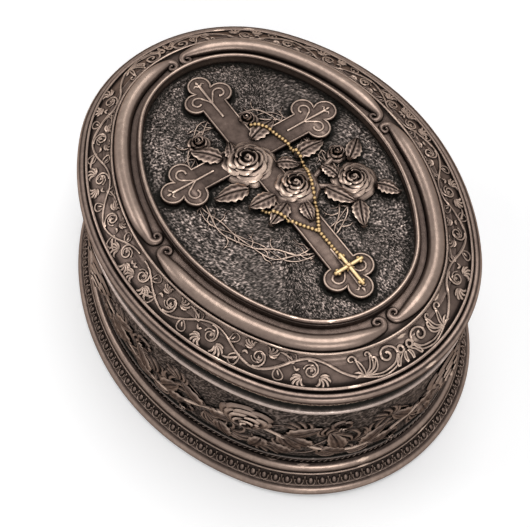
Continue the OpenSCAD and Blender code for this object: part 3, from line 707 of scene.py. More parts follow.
def make_wall():
    profile = ([(MOUTH_I, FOOT_TOP_Z), (FOOT_BAND[0], FOOT_TOP_Z), (FOOT_BAND[0], WALL_BEAD[1] - 0.44)]
               + arc(WALL_BEAD, 236, 96, 7)
               + [WALL_LOW] + line(WALL_LOW, WALL_HIGH, WALL_ROWS) + [WALL_HIGH]
               + arc(MOUTH_BEAD, 238, 88, 10)
               + [(SEAT[0] - 0.35, SEAT[1] - 0.35), SEAT, (MOUTH_I, SEAT[1])])
    wall = moulding("base_wall_shell", profile, ends=204, sides=240)
    co = coords(wall)
    z = co[:, 2] / MM
    normals = np.empty(co.size)
    wall.data.vertices.foreach_get("normal", normals)
    out = normals.reshape(-1, 3)
    outer = out[:, 0] * co[:, 0] + out[:, 1] * co[:, 1] > 0
    ground = (z > WALL_LOW[1] + 0.3) & (z < WALL_HIGH[1] - 0.3) & outer
    turn = np.degrees(np.arctan2(co[:, 1], co[:, 0]))
    lumps = noise_rng.random(len(co)) * 0.7 + value_noise(turn, z, 0.9, 3) * 0.3
    co = co + out * (ground * (lumps - 0.6) * WALL_GRAIN_H * MM)[:, None]
    set_coords(wall, co)
    # The low and high edges hold patina; the valley at the seat, between box and lid, is painted shade.
    low_edge, high_edge = (WALL_LOW[0], WALL_LOW[1] + 0.2), (WALL_HIGH[0], WALL_HIGH[1] - 0.1)
    valleys_patina_and_shade = [(low_edge, low_edge, 0.8, 0.9), (high_edge, high_edge, 0.5, 0.9),
               ((6.8, 12.4), (6.8, 12.4), 0.5, 0.8), ((9.0, 43.9), SEAT, 0.6, 1.0)]
    # The crests on the mouth bead and wall bead are painted highlights with rubbed wear.
    crests_worn_and_highlit = [((7.8, 43.5), (7.6, 43.2), 0.4), ((6.1, 13.3), (6.1, 13.3), 0.25)]
    paint_patina_shade_and_highlights(wall, valleys_patina_and_shade, crests_worn_and_highlit)
    kept = kept_patina_and_painted_light(wall)
    keep_patina_and_painted_light(wall, np.where(ground, np.maximum(kept, 1.7 - 2.2 * lumps), kept))
    finished(wall, "base", "bronze", stippled_bronze, "base_wall")


def make_foot_band():
    i, z, r = FOOT_BAND
    band = moulding("foot_band_core", [(i, FOOT_TOP_Z)] + arc((i, z, r * 0.8), 218, 90, 8))
    keep_patina_and_painted_light(band, np.ones(len(band.data.vertices)))
    ground = on_slope((i - 0.45, z - 0.5), (i - 0.2, z + 0.6))
    pitch = 4 * ground.quarter / FOOT_LEAVES
    lean = curved([(-0.5, -0.1), (-0.1, 0.35), (0.35, 0.75), (0.75, 1.15)], 5)
    twist = strokes("twist", [(lean, drop(5, 0.3))], 0)
    leaves = repeated("foot_band_leaves", twist, FOOT_LEAVES, pitch, ground)
    whole = join("foot_leaf_band_ring", [band, leaves])
    finished(whole, "base", "bronze_dark", relief_bronze, "foot_leaf_band")


def make_lining():
    top = FLOOR_Z + LINING_T
    inset = MOUTH_I + LINING_GAP
    edge = [(inset + 3, FLOOR_Z), (inset, FLOOR_Z), (inset, top - 0.2), (inset + 0.2, top), (inset + 3, top)]
    lining = moulding("floor_lining_felt", edge, closed=False, fill=True)
    finished(lining, "base", "felt", black_felt, "floor_lining")
    edge = [(FELT_INSET + 3, 0), (FELT_INSET + 0.2, 0), (FELT_INSET, 0.2), (FELT_INSET, FELT_T),
            (FELT_INSET + 3, FELT_T)]
    under = moulding("base_felt_pad", edge, closed=False, fill=True)
    finished(under, "base", "felt", black_felt, "base_felt")


# Leaves and roses, drawn flat in millimetres

def leaf(length, width, height, lobes=4, curl=0.0, nu=16, nv=8, thick=0.5):
    """Pointed leaf along +u with a scalloped edge, a midrib and raised side veins."""
    def shape(u, v):
        f = np.clip(u, 0.0, 1)
        side = 2 * v - 1
        scallop = 1 + 0.16 * np.sin(2 * np.pi * lobes * f - 0.8) * (1 - f)
        half = width / 2 * (np.sin(np.pi * f ** 0.75) ** 0.75 * 0.96 + 0.04) * scallop
        vein = 0.5 + 0.5 * np.cos(2 * np.pi * (lobes * f - 0.9 * np.abs(side)))
        crown = height * (0.45 + 0.55 * np.sin(np.pi * np.clip(f * 0.9 + 0.08, 0, 1)))
        h = crown * (1 - 0.55 * np.abs(side) ** 1.6) - 0.3 * height * np.exp(-(side / 0.16) ** 2)
        h = h + 0.14 * height * vein * np.abs(side)
        x, y = length * f, half * side
        bend = curl * (x / length) ** 2 * length
        return np.stack([x, y + bend, h], -1)
    return flat_grid("leaf", nu, nv, shape, thick, lambda u, v: 0.75 * np.sin(np.pi * np.abs(2 * v - 1)) ** 2)


def petal(r0, r1, spread, z0, z1, lip, turn, tilt, nu=7, nv=8):
    """Rose petal from radius r0 to r1 round the angle turn.

    Its lip rolls down by lip, and its tilt lays one side over its neighbour.
    """
    def shape(u, v):
        a = 2 * v - 1
        notch = 1 - 0.24 * np.abs(a) ** 3 - 0.05 * np.exp(-(a / 0.18) ** 2)
        f = u * notch
        narrow = 0.5 + 0.5 * np.sin(np.pi * np.clip(u, 0, 1) * 0.6)
        q = np.radians(turn + spread * a * narrow)
        reach = r0 + (r1 - r0) * f
        rise = z0 + (z1 - z0) * np.sin(np.pi / 2 * np.clip(f * 1.3, 0, 1))
        rise = rise - lip * (np.clip(u - 0.72, 0, 1) / 0.28) ** 2 + tilt * a * u
        return np.stack([reach * np.cos(q), reach * np.sin(q), rise], -1)
    return flat_grid("petal", nu, nv, shape, 0.32, lambda u, v: np.clip((0.95 - u) / 0.26, 0, 1))


def rose(radius, height, rounds=4, first=0.0, detail=7):
    """Open rose with rounds of overlapping petals and a coiled heart."""
    parts = []
    for k in range(rounds):
        f = k / max(rounds - 1, 1)
        outer = radius * (1.0 - 0.64 * f)
        inner = outer * 0.25
        top = height * (0.34 + 0.6 * f)
        count = 5 if k < rounds - 1 else 3
        for j in range(count):
            turn = first + 360 * j / count + 41 * k + 5 * math.sin(5 * j + 2 * k)
            reach = outer * (1 + 0.06 * math.sin(3 * j + k))
            parts.append(petal(inner, reach, 45 if count == 5 else 66, -0.2, top,
                               height * (0.22 - 0.08 * f), turn, 0.11 * height, detail, detail + 1))
    heart = spiral(0, 0, first, 560, radius * 0.19, radius * 0.04, 20)
    heart = np.column_stack([heart, np.linspace(height * 0.5, height * 0.97, 20)])
    parts.append(strokes("heart", [(heart, tapered(20, radius * 0.07, radius * 0.05))], 1))
    dome = flat_grid("dome", 8, 8, lambda u, v: disc_dome(u, v, radius * 0.5, height * 0.62), 0.3)
    parts.append(dome)
    return join("rose", parts)


def disc_dome(u, v, radius, height):
    """Square grid drawn in to a round dome."""
    a, b = 2 * u - 1, 2 * v - 1
    x, y = a * np.sqrt(1 - b * b / 2), b * np.sqrt(1 - a * a / 2)
    d = np.clip(x * x + y * y, 0, 1)
    return np.stack([radius * x, radius * y, height * (1 - d) - 0.3], -1)


def placed(obj, u, v, a=0.0, h=0.0):
    """Turns a flat piece by an angle and moves it to (u, v), at a height."""
    obj.data.transform(Matrix.Translation((u, v, h)) @ Matrix.Rotation(math.radians(a), 4, "Z"))
    return obj


# The frieze: its unit of vine, rose, buds and leaves repeats round the wall

FRIEZE_H = WALL_HIGH[1] - WALL_LOW[1]
UNIT = 4 * on_wall.quarter / FRIEZE_UNITS
UNIT_STEPS = 24

# Places in a unit, as shares of its length and of the frieze's height.
# A twig's start, middle and end, and its radius
TWIGS = [((0.30, 0.46), (0.36, 0.62), (0.46, 0.70), 0.42),
         ((0.55, 0.28), (0.62, 0.42), (0.68, 0.66), 0.45),
         ((0.80, 0.17), (0.86, 0.10), (0.93, 0.14), 0.4),
         ((0.60, 0.22), (0.52, 0.12), (0.44, 0.12), 0.4),
         ((0.05, 0.42), (0.0, 0.6), (-0.06, 0.72), 0.4),
         ((0.4, 0.5), (0.46, 0.36), (0.42, 0.24), 0.4)]
# A leaf's root, angle and length
FRIEZE_LEAVES = [(0.02, 0.4, 115, 0.27), (0.07, 0.4, 25, 0.22), (0.42, 0.48, -70, 0.27), (0.45, 0.5, 50, 0.3),
                 (0.55, 0.3, 125, 0.27), (0.6, 0.24, -15, 0.24), (0.68, 0.2, 90, 0.36), (0.8, 0.22, 70, 0.3),
                 (0.82, 0.2, 5, 0.22), (0.33, 0.3, -100, 0.24), (0.12, 0.3, -80, 0.24),
                 (0.47, 0.14, 160, 0.2)]
# An acanthus curl's root, angle, size and the way it hooks
FRIEZE_CURLS = [(0.04, 0.3, -60, 0.24, 1), (0.15, 0.2, -20, 0.26, 1), (0.28, 0.13, 10, 0.26, -1),
                (0.38, 0.3, -40, 0.24, 1), (0.48, 0.22, 180, 0.22, -1), (0.5, 0.6, 60, 0.2, 1),
                (0.62, 0.5, 100, 0.2, -1), (0.74, 0.3, 60, 0.28, 1), (0.87, 0.36, 120, 0.24, -1),
                (0.9, 0.6, 70, 0.2, 1), (0.58, 0.1, 20, 0.22, 1), (0.72, 0.1, -10, 0.2, 1)]


def vine_v(share):
    return FRIEZE_H * (0.36 + 0.2 * math.sin(2 * math.pi * share))


def make_frieze():
    steps = UNIT_STEPS * FRIEZE_UNITS
    path = [(UNIT * k / UNIT_STEPS, vine_v(k / UNIT_STEPS)) for k in range(steps + 1)]
    lines = [(path, 0.72 + 0.1 * np.sin(np.arange(steps + 1) * 1.7))]
    for n in range(FRIEZE_UNITS):
        for *places, r in TWIGS:
            points = curved([(UNIT * (n + u), FRIEZE_H * v) for u, v in places], 12)
            lines.append((points, tapered(12, r, r * 0.5, 0.2)))
    vine = wrap(strokes("frieze_vine_relief", lines, 2), on_wall, 0.8)
    smooth(vine, 60)
    finished(vine, "base", "bronze", frieze_bronze, "frieze_vine")

    bloom = rose(0.215 * FRIEZE_H, 2.6, 4, 20, 6)
    bloom.data.transform(Matrix.Scale(1.22, 4, (1, 0, 0)))
    bud = rose(0.1 * FRIEZE_H, 1.7, 2, 0, 5)
    blooms = []
    for n in range(FRIEZE_UNITS):
        blooms.append(placed(copy_of(bloom), (n + 0.25) * UNIT, vine_v(0.25) + 0.08 * FRIEZE_H, 4 * n))
        blooms.append(placed(copy_of(bud), (n + 0.68) * UNIT, 0.72 * FRIEZE_H, 50 * n))
        blooms.append(placed(copy_of(bud), (n + 0.93) * UNIT, 0.16 * FRIEZE_H, 35 * n))
    for o in (bloom, bud):
        bpy.data.objects.remove(o)
    roses = wrap(join("frieze_rose_relief", blooms), on_wall, 2.2)
    smooth(roses, 50)
    finished(roses, "base", "bronze", frieze_bronze, "frieze_roses")

    sprays, curls = [], []
    for n in range(FRIEZE_UNITS):
        for k, (u, v, a, share) in enumerate(FRIEZE_LEAVES):
            blade = leaf(share * FRIEZE_H * 1.12, 0.17 * FRIEZE_H, 1.2, 4, 0.22 * (-1) ** k)
            sprays.append(placed(blade, (n + u) * UNIT, v * FRIEZE_H, a))
        for u, v, a, size, way in FRIEZE_CURLS:
            curls += acanthus((n + u) * UNIT, v * FRIEZE_H, a, size * FRIEZE_H, 0.62, 5, way)
    sprays.append(strokes("acanthus", curls, 1))
    leaves = join("frieze_leaf_relief", sprays)
    co = coords(leaves)
    co[:, 1] = np.clip(co[:, 1], 0.8, FRIEZE_H - 1.5)
    set_coords(leaves, co)
    wrap(leaves, on_wall, 1.3)
    smooth(leaves, 50)
    finished(leaves, "base", "bronze", frieze_bronze, "frieze_leaves")


# The lid

def make_lid():
    low, high = BAND_LOW, BAND_HIGH
    profile = ([(PANEL_I + 1, PANEL_Z - PANEL_T), (PANEL_I, PANEL_Z - PANEL_T), (PANEL_I, FRAME_Z)]
               + line((PANEL_I, FRAME_Z), (THREAD[0] + THREAD[2], FRAME_Z), 6)
               + arc(THREAD, 0, 180, 8)
               + arc(CAVETTO, -11, -100, 12)
               + [high] + line(high, low, 5) + [low]
               + arc(LID_FILLET, 40, 196, 9)
               + arc(LID_TORUS, 62, 268, 26)
               + [(SEAT[0], LEAF_HIGH[1]), (SEAT[0], LEAF_LOW[1]), SEAT, (RING_I[0], SEAT[1]),
                  (RING_I[0], RING_Z), (RING_I[1], RING_Z), (RING_I[1], CEILING_Z), (PANEL_I + 1, CEILING_Z)])
    lid = moulding("lid_shell_moulding", profile, closed=False, fill=True)
    thread_top = (THREAD[0], FRAME_Z + THREAD[2])
    # Valleys hold patina in the hollows; the one from the seat to the leaf band is painted shade under the
    # torus.
    valleys_patina_and_shade = [(BAND_LOW, BAND_HIGH, 0.35, 0.22), ((10.3, 51.9), (10.0, 51.7), 0.35, 0.9),
               ((10.5, 52.6), (10.5, 52.6), 0.3, 0.9), ((14.5, 54.9), (14.6, 54.9), 0.3, 0.6),
               ((17.2, FRAME_Z), (17.2, FRAME_Z), 0.16, 0.8),
               ((21.45, FRAME_Z), (21.45, FRAME_Z), 0.16, 0.6),
               ((22.75, FRAME_Z), (22.75, FRAME_Z), 0.16, 0.6), (SEAT, LEAF_HIGH, 0.9, 1.0),
               # The first two valleys on this line are dark stripes along the torus: painted reflections.
               ((8.25, 51.77), (8.15, 51.72), 0.22, 0.85), ((7.33, 50.6), (7.35, 50.0), 0.35, 0.8),
               ((9.4, 51.75), (9.4, 51.75), 0.25, 0.5)]
    # Crests are painted highlights, on the torus above all, with rubbed wear.
    crests_worn_and_highlit = [((8.75, 51.88), (8.75, 51.88), 0.2), ((7.75, 51.45), (7.62, 51.3), 0.32),
              ((10.0, 52.8), (10.0, 52.8), 0.25), (thread_top, thread_top, 0.25),
              (BAND_HIGH, BAND_HIGH, 0.25), ((16.3, 55.9), (15.7, 55.2), 0.4),
              ((22.1, FRAME_Z), (22.1, FRAME_Z), 0.4)]
    paint_patina_shade_and_highlights(lid, valleys_patina_and_shade, crests_worn_and_highlit)
    finished(lid, "lid", "bronze", cast_bronze, "lid_shell")


def make_leaf_band():
    core = moulding("leaf_core", [(SEAT[0], LEAF_LOW[1]), LEAF_LOW, LEAF_HIGH, (SEAT[0], LEAF_HIGH[1])])
    width = on_leaf_band.width
    pitch = 4 * on_leaf_band.quarter / LEAF_TIPS
    tongue = curved([(-0.85, width * 0.9), (-0.8, width * 0.42), (0, width * 0.06), (0.8, width * 0.42),
                     (0.85, width * 0.9)], 9)
    rib = curved([(0, width * 0.8), (0.25, width * 0.5), (0, width * 0.3)], 5)
    unit = strokes("leaf_tip", [(tongue, 0.5), (rib, drop(5, 0.5))], 1)
    tips = repeated("leaf_tips", unit, LEAF_TIPS, pitch, on_leaf_band, 0.22)
    # The band's core is painted fully dark: patina and painted shade in the recess under the torus.
    keep_patina_and_painted_light(core, np.ones(len(core.data.vertices)))
    whole = join("lid_leaf_band_ring", [core, tips])
    finished(whole, "lid", "bronze_dark", highlit_tip_bronze, "lid_leaf_band")


def quarters(lines, quarter):
    """Repeats strokes drawn for one quarter, from the long axis to the short one, in all four."""
    out = []
    for start, way in [(0, 1), (2 * quarter, -1), (2 * quarter, 1), (4 * quarter, -1)]:
        for points, radii in lines:
            points = np.asarray(points, float).copy()
            points[:, 0] = start + way * points[:, 0]
            out.append((points, radii))
    return out


def ribbon(points, width, r):
    """The two raised edges of a ribbon that narrows to a point at both ends."""
    p = np.asarray(points, float)
    way = np.gradient(p, axis=0)
    side = np.stack([-way[:, 1], way[:, 0]], -1) / np.hypot(*way.T)[:, None]
    half = width / 2 * np.sin(np.pi * np.linspace(0.03, 0.97, len(p))[:, None]) ** 0.6
    return [(p + side * half, r), (p - side * half, r)]


def bud(u, v, a, length):
    """A bud drawn as a looped leaf round its rib."""
    c, s = math.cos(math.radians(a)), math.sin(math.radians(a))
    f = np.linspace(0, 2 * np.pi, 17)
    along, across = length * (0.5 - 0.5 * np.cos(f)), 0.3 * length * np.sin(f) * (1.2 - 0.5 * np.cos(f + 0.6))
    loop = np.stack([u + along * c - across * s, v + along * s + across * c], -1)
    rib = [(u + k * length * c, v + k * length * s) for k in (0.05, 0.3, 0.55, 0.75)]
    return [(loop, 0.27), (rib, drop(4, 0.34))]


def make_scrollwork():
    w = on_band.width - 0.4
    mid = w / 2 + 0.3
    quarter = on_band.quarter
    thick, thin = 0.36, 0.26
    lines = []

    # The bow on the long axis, with its tails, and the double volute beside it
    bold, fine = 0.44, 0.3
    lines.append((spiral(1.2, 3.9, 200, 350, 0.78, 0.7, 14), bold))
    lines += ribbon(curved([(1.2, 3.0), (2.4, 2.2), (3.0, 0.5)], 10), 0.85, fine)
    lines += ribbon(curved([(0.35, 2.9), (0.85, 1.8), (0.75, 0.5)], 8), 0.5, fine)
    volute = (4.7, 4.1)
    lines.append((spiral(*volute, 190, -480, 2.6, 0.5, 40), tapered(40, bold, bold)))
    lines.append((spiral(*volute, 120, -250, 1.75, 0.95, 20), tapered(20, fine, fine)))

    # A fan of curled ribbons behind the volute, on a stem that passes under it
    root = (10.6, 1.2)
    lines += ribbon(curved([(2.1, 3.3), (3.6, 1.3), (6.8, 0.5), root], 16), 0.8, fine)
    for knee, tip, eye, turn, r in [((8.2, 2.2), (7.4, 4.0), (8.0, 4.3), -250, 0.6),
                                    ((8.9, 2.8), (8.4, 5.6), (9.2, 5.9), -270, 0.75),
                                    ((11.0, 3.0), (12.0, 5.0), (13.1, 5.4), -330, 1.1)]:
        lines += ribbon(curved([root, knee, tip], 12), 0.75, fine)
        start = math.degrees(math.atan2(tip[1] - eye[1], tip[0] - eye[0]))
        lines.append((spiral(*eye, start, turn, r, 0.42 * r, 14), tapered(14, bold, fine)))
    lines.append((curved([root, (12.0, 1.5), (13.0, 1.0)], 6), drop(6, 0.5)))
    lines.append((curved([root, (11.8, 2.3), (13.2, 2.4)], 6), drop(6, 0.45)))

    # The waving vine, with a double scroll in every bend and looped buds at its turns
    start, stop, bends = root[0], quarter - 1.2, 5
    bend = (stop - start) / bends
    stem = [(start + (stop - start) * f, mid - 0.36 * w * math.cos(math.pi * bends * f))
            for f in np.linspace(0, 1, 16 * bends)]
    lines += ribbon(stem[:40], 0.55, thin)[:1]
    lines.append((stem, tapered(16 * bends, thick, thick)))
    for k in range(bends):
        up = 1 if k % 2 == 0 else -1
        s = start + (k + 1) * bend
        if k == bends - 1:
            s -= 2.2
        eye = (s - 0.2, mid - up * 0.03 * w)
        lines.append((spiral(*eye, 75 * up, up * 470, 0.35 * w, 0.07 * w, 34), tapered(34, thick, thin)))
        lines.append((spiral(*eye, 10 * up, up * 230, 0.23 * w, 0.15 * w, 16), tapered(16, thin, thin)))
        lines += acanthus(eye[0] - 1.9, eye[1] - up * 0.2 * w, -165 * up, 0.4 * w, 0.42, 5, up)
        lines += acanthus(eye[0] + 1.6, eye[1] - up * 0.24 * w, -15 * up, 0.38 * w, 0.42, 5, -up)
        lines += acanthus(eye[0] + 0.2, eye[1] + up * 0.1 * w, 170 * up, 0.2 * w, 0.3, 3, up)
        lines.append((curved([(eye[0] + 2.2, eye[1] + up * 0.05 * w), (eye[0] + 3.2, eye[1] - up * 0.02 * w),
                              (eye[0] + 3.9, eye[1] + up * 0.12 * w)], 8), drop(8, 0.42)))
        if k < bends - 1:
            lines += bud(s + 0.32 * bend, mid + up * 0.14 * w, 62 * up, 3.0)
            lines += bud(s + 0.6 * bend, mid - up * 0.12 * w, -118 * up, 2.7)
            lines.append((curved([(s + 0.3 * bend, mid + up * 0.2 * w), (s + 0.5 * bend, mid + up * 0.4 * w),
                                  (s + 0.66 * bend, mid + up * 0.42 * w)], 9), drop(9, 0.42)))
    scroll = wrap(strokes("rim_scroll_relief", quarters(lines, quarter), 1), on_band, 0.26)
    smooth(scroll, 60)
    finished(scroll, "lid", "bronze", relief_bronze, "rim_scrollwork")


def make_rim():
    inset, top, _ = RIM_BEAD
    profile = ([(inset - 1, FRAME_Z), (inset - 0.95, FRAME_Z + 0.7), (inset - 0.75, FRAME_Z + 1.35)]
               + arc(RIM_BEAD, 200, 36, 12) + [(PANEL_I, top + 0.1), (PANEL_I, FRAME_Z)])
    rim = moulding("medallion_rim_bead", profile)
    # The bead's crest is lightened as a painted highlight with rubbed wear, and the rest keeps patina.
    paint_patina_shade_and_highlights(rim, [], [((23.75, 58.48), (23.9, 58.48), 0.2)], 0.5)
    finished(rim, "lid", "bronze", cast_bronze, "medallion_rim")


VOLUTE_W = 1.75
VOLUTE_END_R = 0.9
VOLUTE_OFFSET = 2.5
VOLUTE_TURN = 400
VOLUTE_SHRINK = 0.3
TAPER = 8.0


def scroll_end(end, steps=34):
    """Centre line and radii of a volute, from the point where the full moulding stops."""
    quarter = quarter_len(SCROLL_I)
    at = (lambda s: oval_t(s, SCROLL_I)) if end == 0 else (lambda s: oval_t(quarter - s, SCROLL_I))
    way = 1 if end == 0 else -1
    points, radii = [], []
    for f in np.linspace(0, 1, 12)[:-1]:
        x, y = oval_xy(at(VOLUTE_OFFSET + TAPER * (1 - f)), SCROLL_I)
        points.append((float(x), float(y), FRAME_Z))
        radii.append(SCROLL_R * (1 - f * f) + VOLUTE_END_R * 1.25 * f * f)
    t0 = math.radians(float(at(VOLUTE_OFFSET)))
    x, y = oval_xy(at(VOLUTE_OFFSET), SCROLL_I + VOLUTE_W)
    for f in np.linspace(0, 1, steps):
        w = VOLUTE_SHRINK ** (f * VOLUTE_TURN / 360)
        a = math.radians(VOLUTE_TURN * f)
        out = (math.cos(t0) * math.cos(a) + way * math.sin(t0) * math.sin(a),
               math.sin(t0) * math.cos(a) - way * math.cos(t0) * math.sin(a))
        turn_r = VOLUTE_W * w
        points.append((float(x) + turn_r * out[0], float(y) + turn_r * out[1], FRAME_Z + 0.25 * f))
        radii.append(VOLUTE_END_R * (1.25 - 0.25 * f) * w + 0.16 * f)
    return points, radii


def make_frame_scrolls():
    quarter = quarter_len(SCROLL_I)
    reach = VOLUTE_OFFSET + TAPER
    head, head_r = scroll_end(0)
    side, side_r = scroll_end(1)
    middle = []
    for s in np.linspace(reach, quarter - reach, 42)[1:-1]:
        x, y = oval_xy(oval_t(s, SCROLL_I), SCROLL_I)
        middle.append((float(x), float(y), FRAME_Z))
    points = np.array(head[::-1] + middle + side)
    radii = head_r[::-1] + [SCROLL_R] * len(middle) + side_r
    names = {(1, 1): "foot_right", (1, -1): "foot_left", (-1, 1): "head_right", (-1, -1): "head_left"}
    for (sx, sy), name in names.items():
        obj = strokes(f"frame_scroll_{name}_relief", [(points * (sx, sy, 1), radii)], 7)
        # Darker down the flanks and lightest along the top: patina, painted shade on the flanks and a painted
        # highlight on the top.
        keep_patina_and_painted_light(obj, 0.16 + 0.5 * (1 - (coords(obj)[:, 2] - FRAME_Z) / 1.9))
        set_coords(obj, coords(obj) * MM)
        outward(obj)
        smooth(obj, 60)
        finished(obj, "lid", "bronze", cast_bronze, f"frame_scroll_{name}")


# The medallion

def make_panel():
    kept = []

    def shape(u, v):
        a, b = 2 * u - 1, 2 * v - 1
        m = np.maximum(np.abs(a), np.abs(b))
        q = np.degrees(np.arctan2(b, a))
        edge_x, edge_y = oval_xy(q, PANEL_I + 0.02)
        x, y = edge_x * m, edge_y * m
        grain = noise_rng.random(len(x)) * 0.5 + value_noise(x, y, 0.38, 5) * 0.5
        patchy = 0.6 + 0.8 * value_noise(x, y, 9.0, 8)
        flat = np.clip((1 - m) * 30, 0, 1)
        kept.append(0.49 + (grain - 0.5) * 1.5 * patchy + 0.3 * (patchy - 1))
        return np.stack([x * MM, y * MM, (PANEL_Z + (grain - 0.75) * PANEL_GRAIN_H * patchy * flat) * MM], -1)

    panel = flat_grid("medallion_panel_ground", *PANEL_CELLS, shape)
    # A dark line round the cross's foot is a painted shadow, laid over the ground's patina in its pits.
    outline = np.array(cross_outline(-0.35))
    steps = np.linspace(0, 1, 6)[:-1, None, None]
    outline = (outline * (1 - steps) + np.roll(outline, -1, 0) * steps).reshape(-1, 2)
    x, y, z = (coords(panel) / MM).T
    gap = np.full(len(x), 9.0)
    for px, py in outline:
        gap = np.minimum(gap, np.hypot(x - px, y - py))
    keep_patina_and_painted_light(panel, np.maximum(1 - kept[0], 1.3 * np.exp(-(gap / 0.55) ** 2)))
    edit_all(panel)
    bpy.ops.mesh.select_all(action="DESELECT")
    bpy.ops.mesh.select_non_manifold()
    bpy.ops.mesh.extrude_region_move(TRANSFORM_OT_translate={"value": (0, 0, -1.5 * MM)})
    bpy.ops.mesh.edge_face_add()
    bpy.ops.object.mode_set(mode="OBJECT")
    smooth(panel, 80)
    finished(panel, "lid", "bronze_dark", stippled_bronze, "medallion_panel")


FOOT_X = HALF_L - PANEL_I - 3.2
ARM_X = -10.5
ARM_Y = HALF_W - PANEL_I - 3.2
BAR_W = 7.0
LOBE_R = 3.1
LOBE_ALONG = 1.4 * LOBE_R
LOBE_ACROSS = 1.13 * LOBE_R


def arc_points(cx, cy, r, a0, a1, n=12):
    q = np.radians(np.linspace(a0, a1, n))
    return [(cx + r * math.cos(a), cy + r * math.sin(a)) for a in q]


def cross_end(inset):
    """Outline of one end from its bar's right side to its left, with the tip's lobe centred on the origin."""
    r = LOBE_R - inset
    half = BAR_W / 2 - inset
    reach = math.sqrt(max(r * r - (LOBE_ACROSS - half) ** 2, 0))
    a_bar = math.degrees(math.atan2(half - LOBE_ACROSS, -reach))
    gap = math.hypot(LOBE_ALONG, LOBE_ACROSS)
    lean = math.degrees(math.atan2(LOBE_ACROSS, LOBE_ALONG))
    cut = math.degrees(math.acos(min(gap / 2 / r, 1)))
    left_lobe = arc_points(-LOBE_ALONG, LOBE_ACROSS, r, -lean + cut, a_bar % 360, 16)
    tip_angle = 180 - lean - cut
    tip = arc_points(0, 0, r, -tip_angle, tip_angle, 22)
    right_lobe = [(x, -y) for x, y in reversed(left_lobe)]
    return right_lobe + tip + left_lobe


# Where each end's tip lobe is centred, and which way it points
CROSS_ENDS = [(FOOT_X - LOBE_R, 0, 0), (ARM_X, ARM_Y - LOBE_R, 90), (-FOOT_X + LOBE_R, 0, 180),
              (ARM_X, -ARM_Y + LOBE_R, 270)]


def turned(x, y, turn, points):
    """Flat points drawn round the origin, turned by an angle and moved to (x, y)."""
    points = np.asarray(points, float)
    c, s = math.cos(math.radians(turn)), math.sin(math.radians(turn))
    return np.stack([x + points[:, 0] * c - points[:, 1] * s, y + points[:, 0] * s + points[:, 1] * c], -1)


def cross_outline(inset):
    """Outline of the whole cross, drawn in by an inset, anticlockwise."""
    half = BAR_W / 2 - inset
    corners = [(ARM_X + half, half), (ARM_X - half, half), (ARM_X - half, -half), (ARM_X + half, -half)]
    out = []
    for end, corner in zip(CROSS_ENDS, corners):
        out += [tuple(p) for p in turned(*end, cross_end(inset))]
        out.append(corner)
    return out


def flat_plate(name, outline, z0, z1, bevel):
    """Plate with a flat outline and rounded upper and lower edges."""
    curve = bpy.data.curves.new(name, "CURVE")
    curve.dimensions = "2D"
    curve.fill_mode = "BOTH"
    curve.extrude = (z1 - z0) / 2 - bevel
    curve.bevel_depth = bevel
    curve.bevel_resolution = 2
    curve.offset = -bevel
    spline = curve.splines.new("POLY")
    spline.points.add(len(outline) - 1)
    for point, (x, y) in zip(spline.points, outline):
        point.co = (x, y, 0, 1)
    spline.use_cyclic_u = True
    obj = bpy.data.objects.new(name, curve)
    bpy.context.collection.objects.link(obj)
    pick(obj)
    bpy.ops.object.convert(target="MESH")
    obj = bpy.context.object
    co = coords(obj)
    co[:, 2] += (z0 + z1) / 2
    set_coords(obj, co * MM)
    outward(obj)
    return obj


def end_ornament():
    """Stem, trident and two curls that stand in one end of the cross."""
    lines = [(curved([(-11.5, 0), (-6, 0.05), (0.2, 0)], 12), tapered(12, 0.3, 0.42)),
             (curved([(0.2, 0), (1.2, 0.15), (1.9, 0.0)], 6), drop(6, 0.42))]
    for side in (1, -1):
        curl = spiral(-LOBE_ALONG - 0.1, side * LOBE_ACROSS * 0.92, -75 * side, 285 * side, 1.75, 0.95, 22)
        lines.append((curl, tapered(22, 0.3, 0.36)))
        lines.append((curved([(-6.2, 0.1 * side), (-5.2, 0.7 * side), tuple(curl[0])], 7), 0.3))
        lines.append((curved([(-0.4, 0.1 * side), (0.5, 0.9 * side), (0.1, 1.6 * side)], 7), drop(7, 0.32)))
    return lines


def make_cross():
    plate = flat_plate("cross_plate", cross_outline(0), PANEL_Z - 0.2, CROSS_TOP - 0.35, 0.12)
    z = coords(plate)[:, 2] / MM
    # The plate's sides are painted dark, patina at its foot and painted shade on its sides; its face keeps
    # little.
    keep_patina_and_painted_light(plate, np.where(z < CROSS_TOP - 0.55, 1.0, 0.15))
    smooth(plate, 40)
    finished(plate, "lid", "bronze", cross_bronze, "cross")
    border = strokes("border", [(cross_outline(0.28), 0.28)], 2, cyclic=True)
    ornament = []
    for end in CROSS_ENDS:
        ornament += [(turned(*end, points), radii) for points, radii in end_ornament()]
    curls = strokes("curls", ornament, 2)
    for part in (border, curls):
        co = coords(part)
        co[:, 2] = co[:, 2] * 0.95 + CROSS_TOP - 0.38
        set_coords(part, co * MM)
    lines = join("cross_border_and_curls", [border, curls])
    smooth(lines, 50)
    finished(lines, "lid", "bronze", cross_line_bronze, "cross")
    return plate


WREATH_AT = (-1.5, -1.5)
WREATH_REACH = (0.59 * FOOT_X, 0.65 * ARM_Y)
TWINE_WAVE = 0.055
THORNS = 60


def on_wreath(q, wave):
    """Point of a twined twig at an angle in radians, a little in or out of the wreath's oval."""
    return np.stack([WREATH_AT[0] + WREATH_REACH[0] * wave * np.cos(q),
                     WREATH_AT[1] + WREATH_REACH[1] * wave * np.sin(q)], -1)


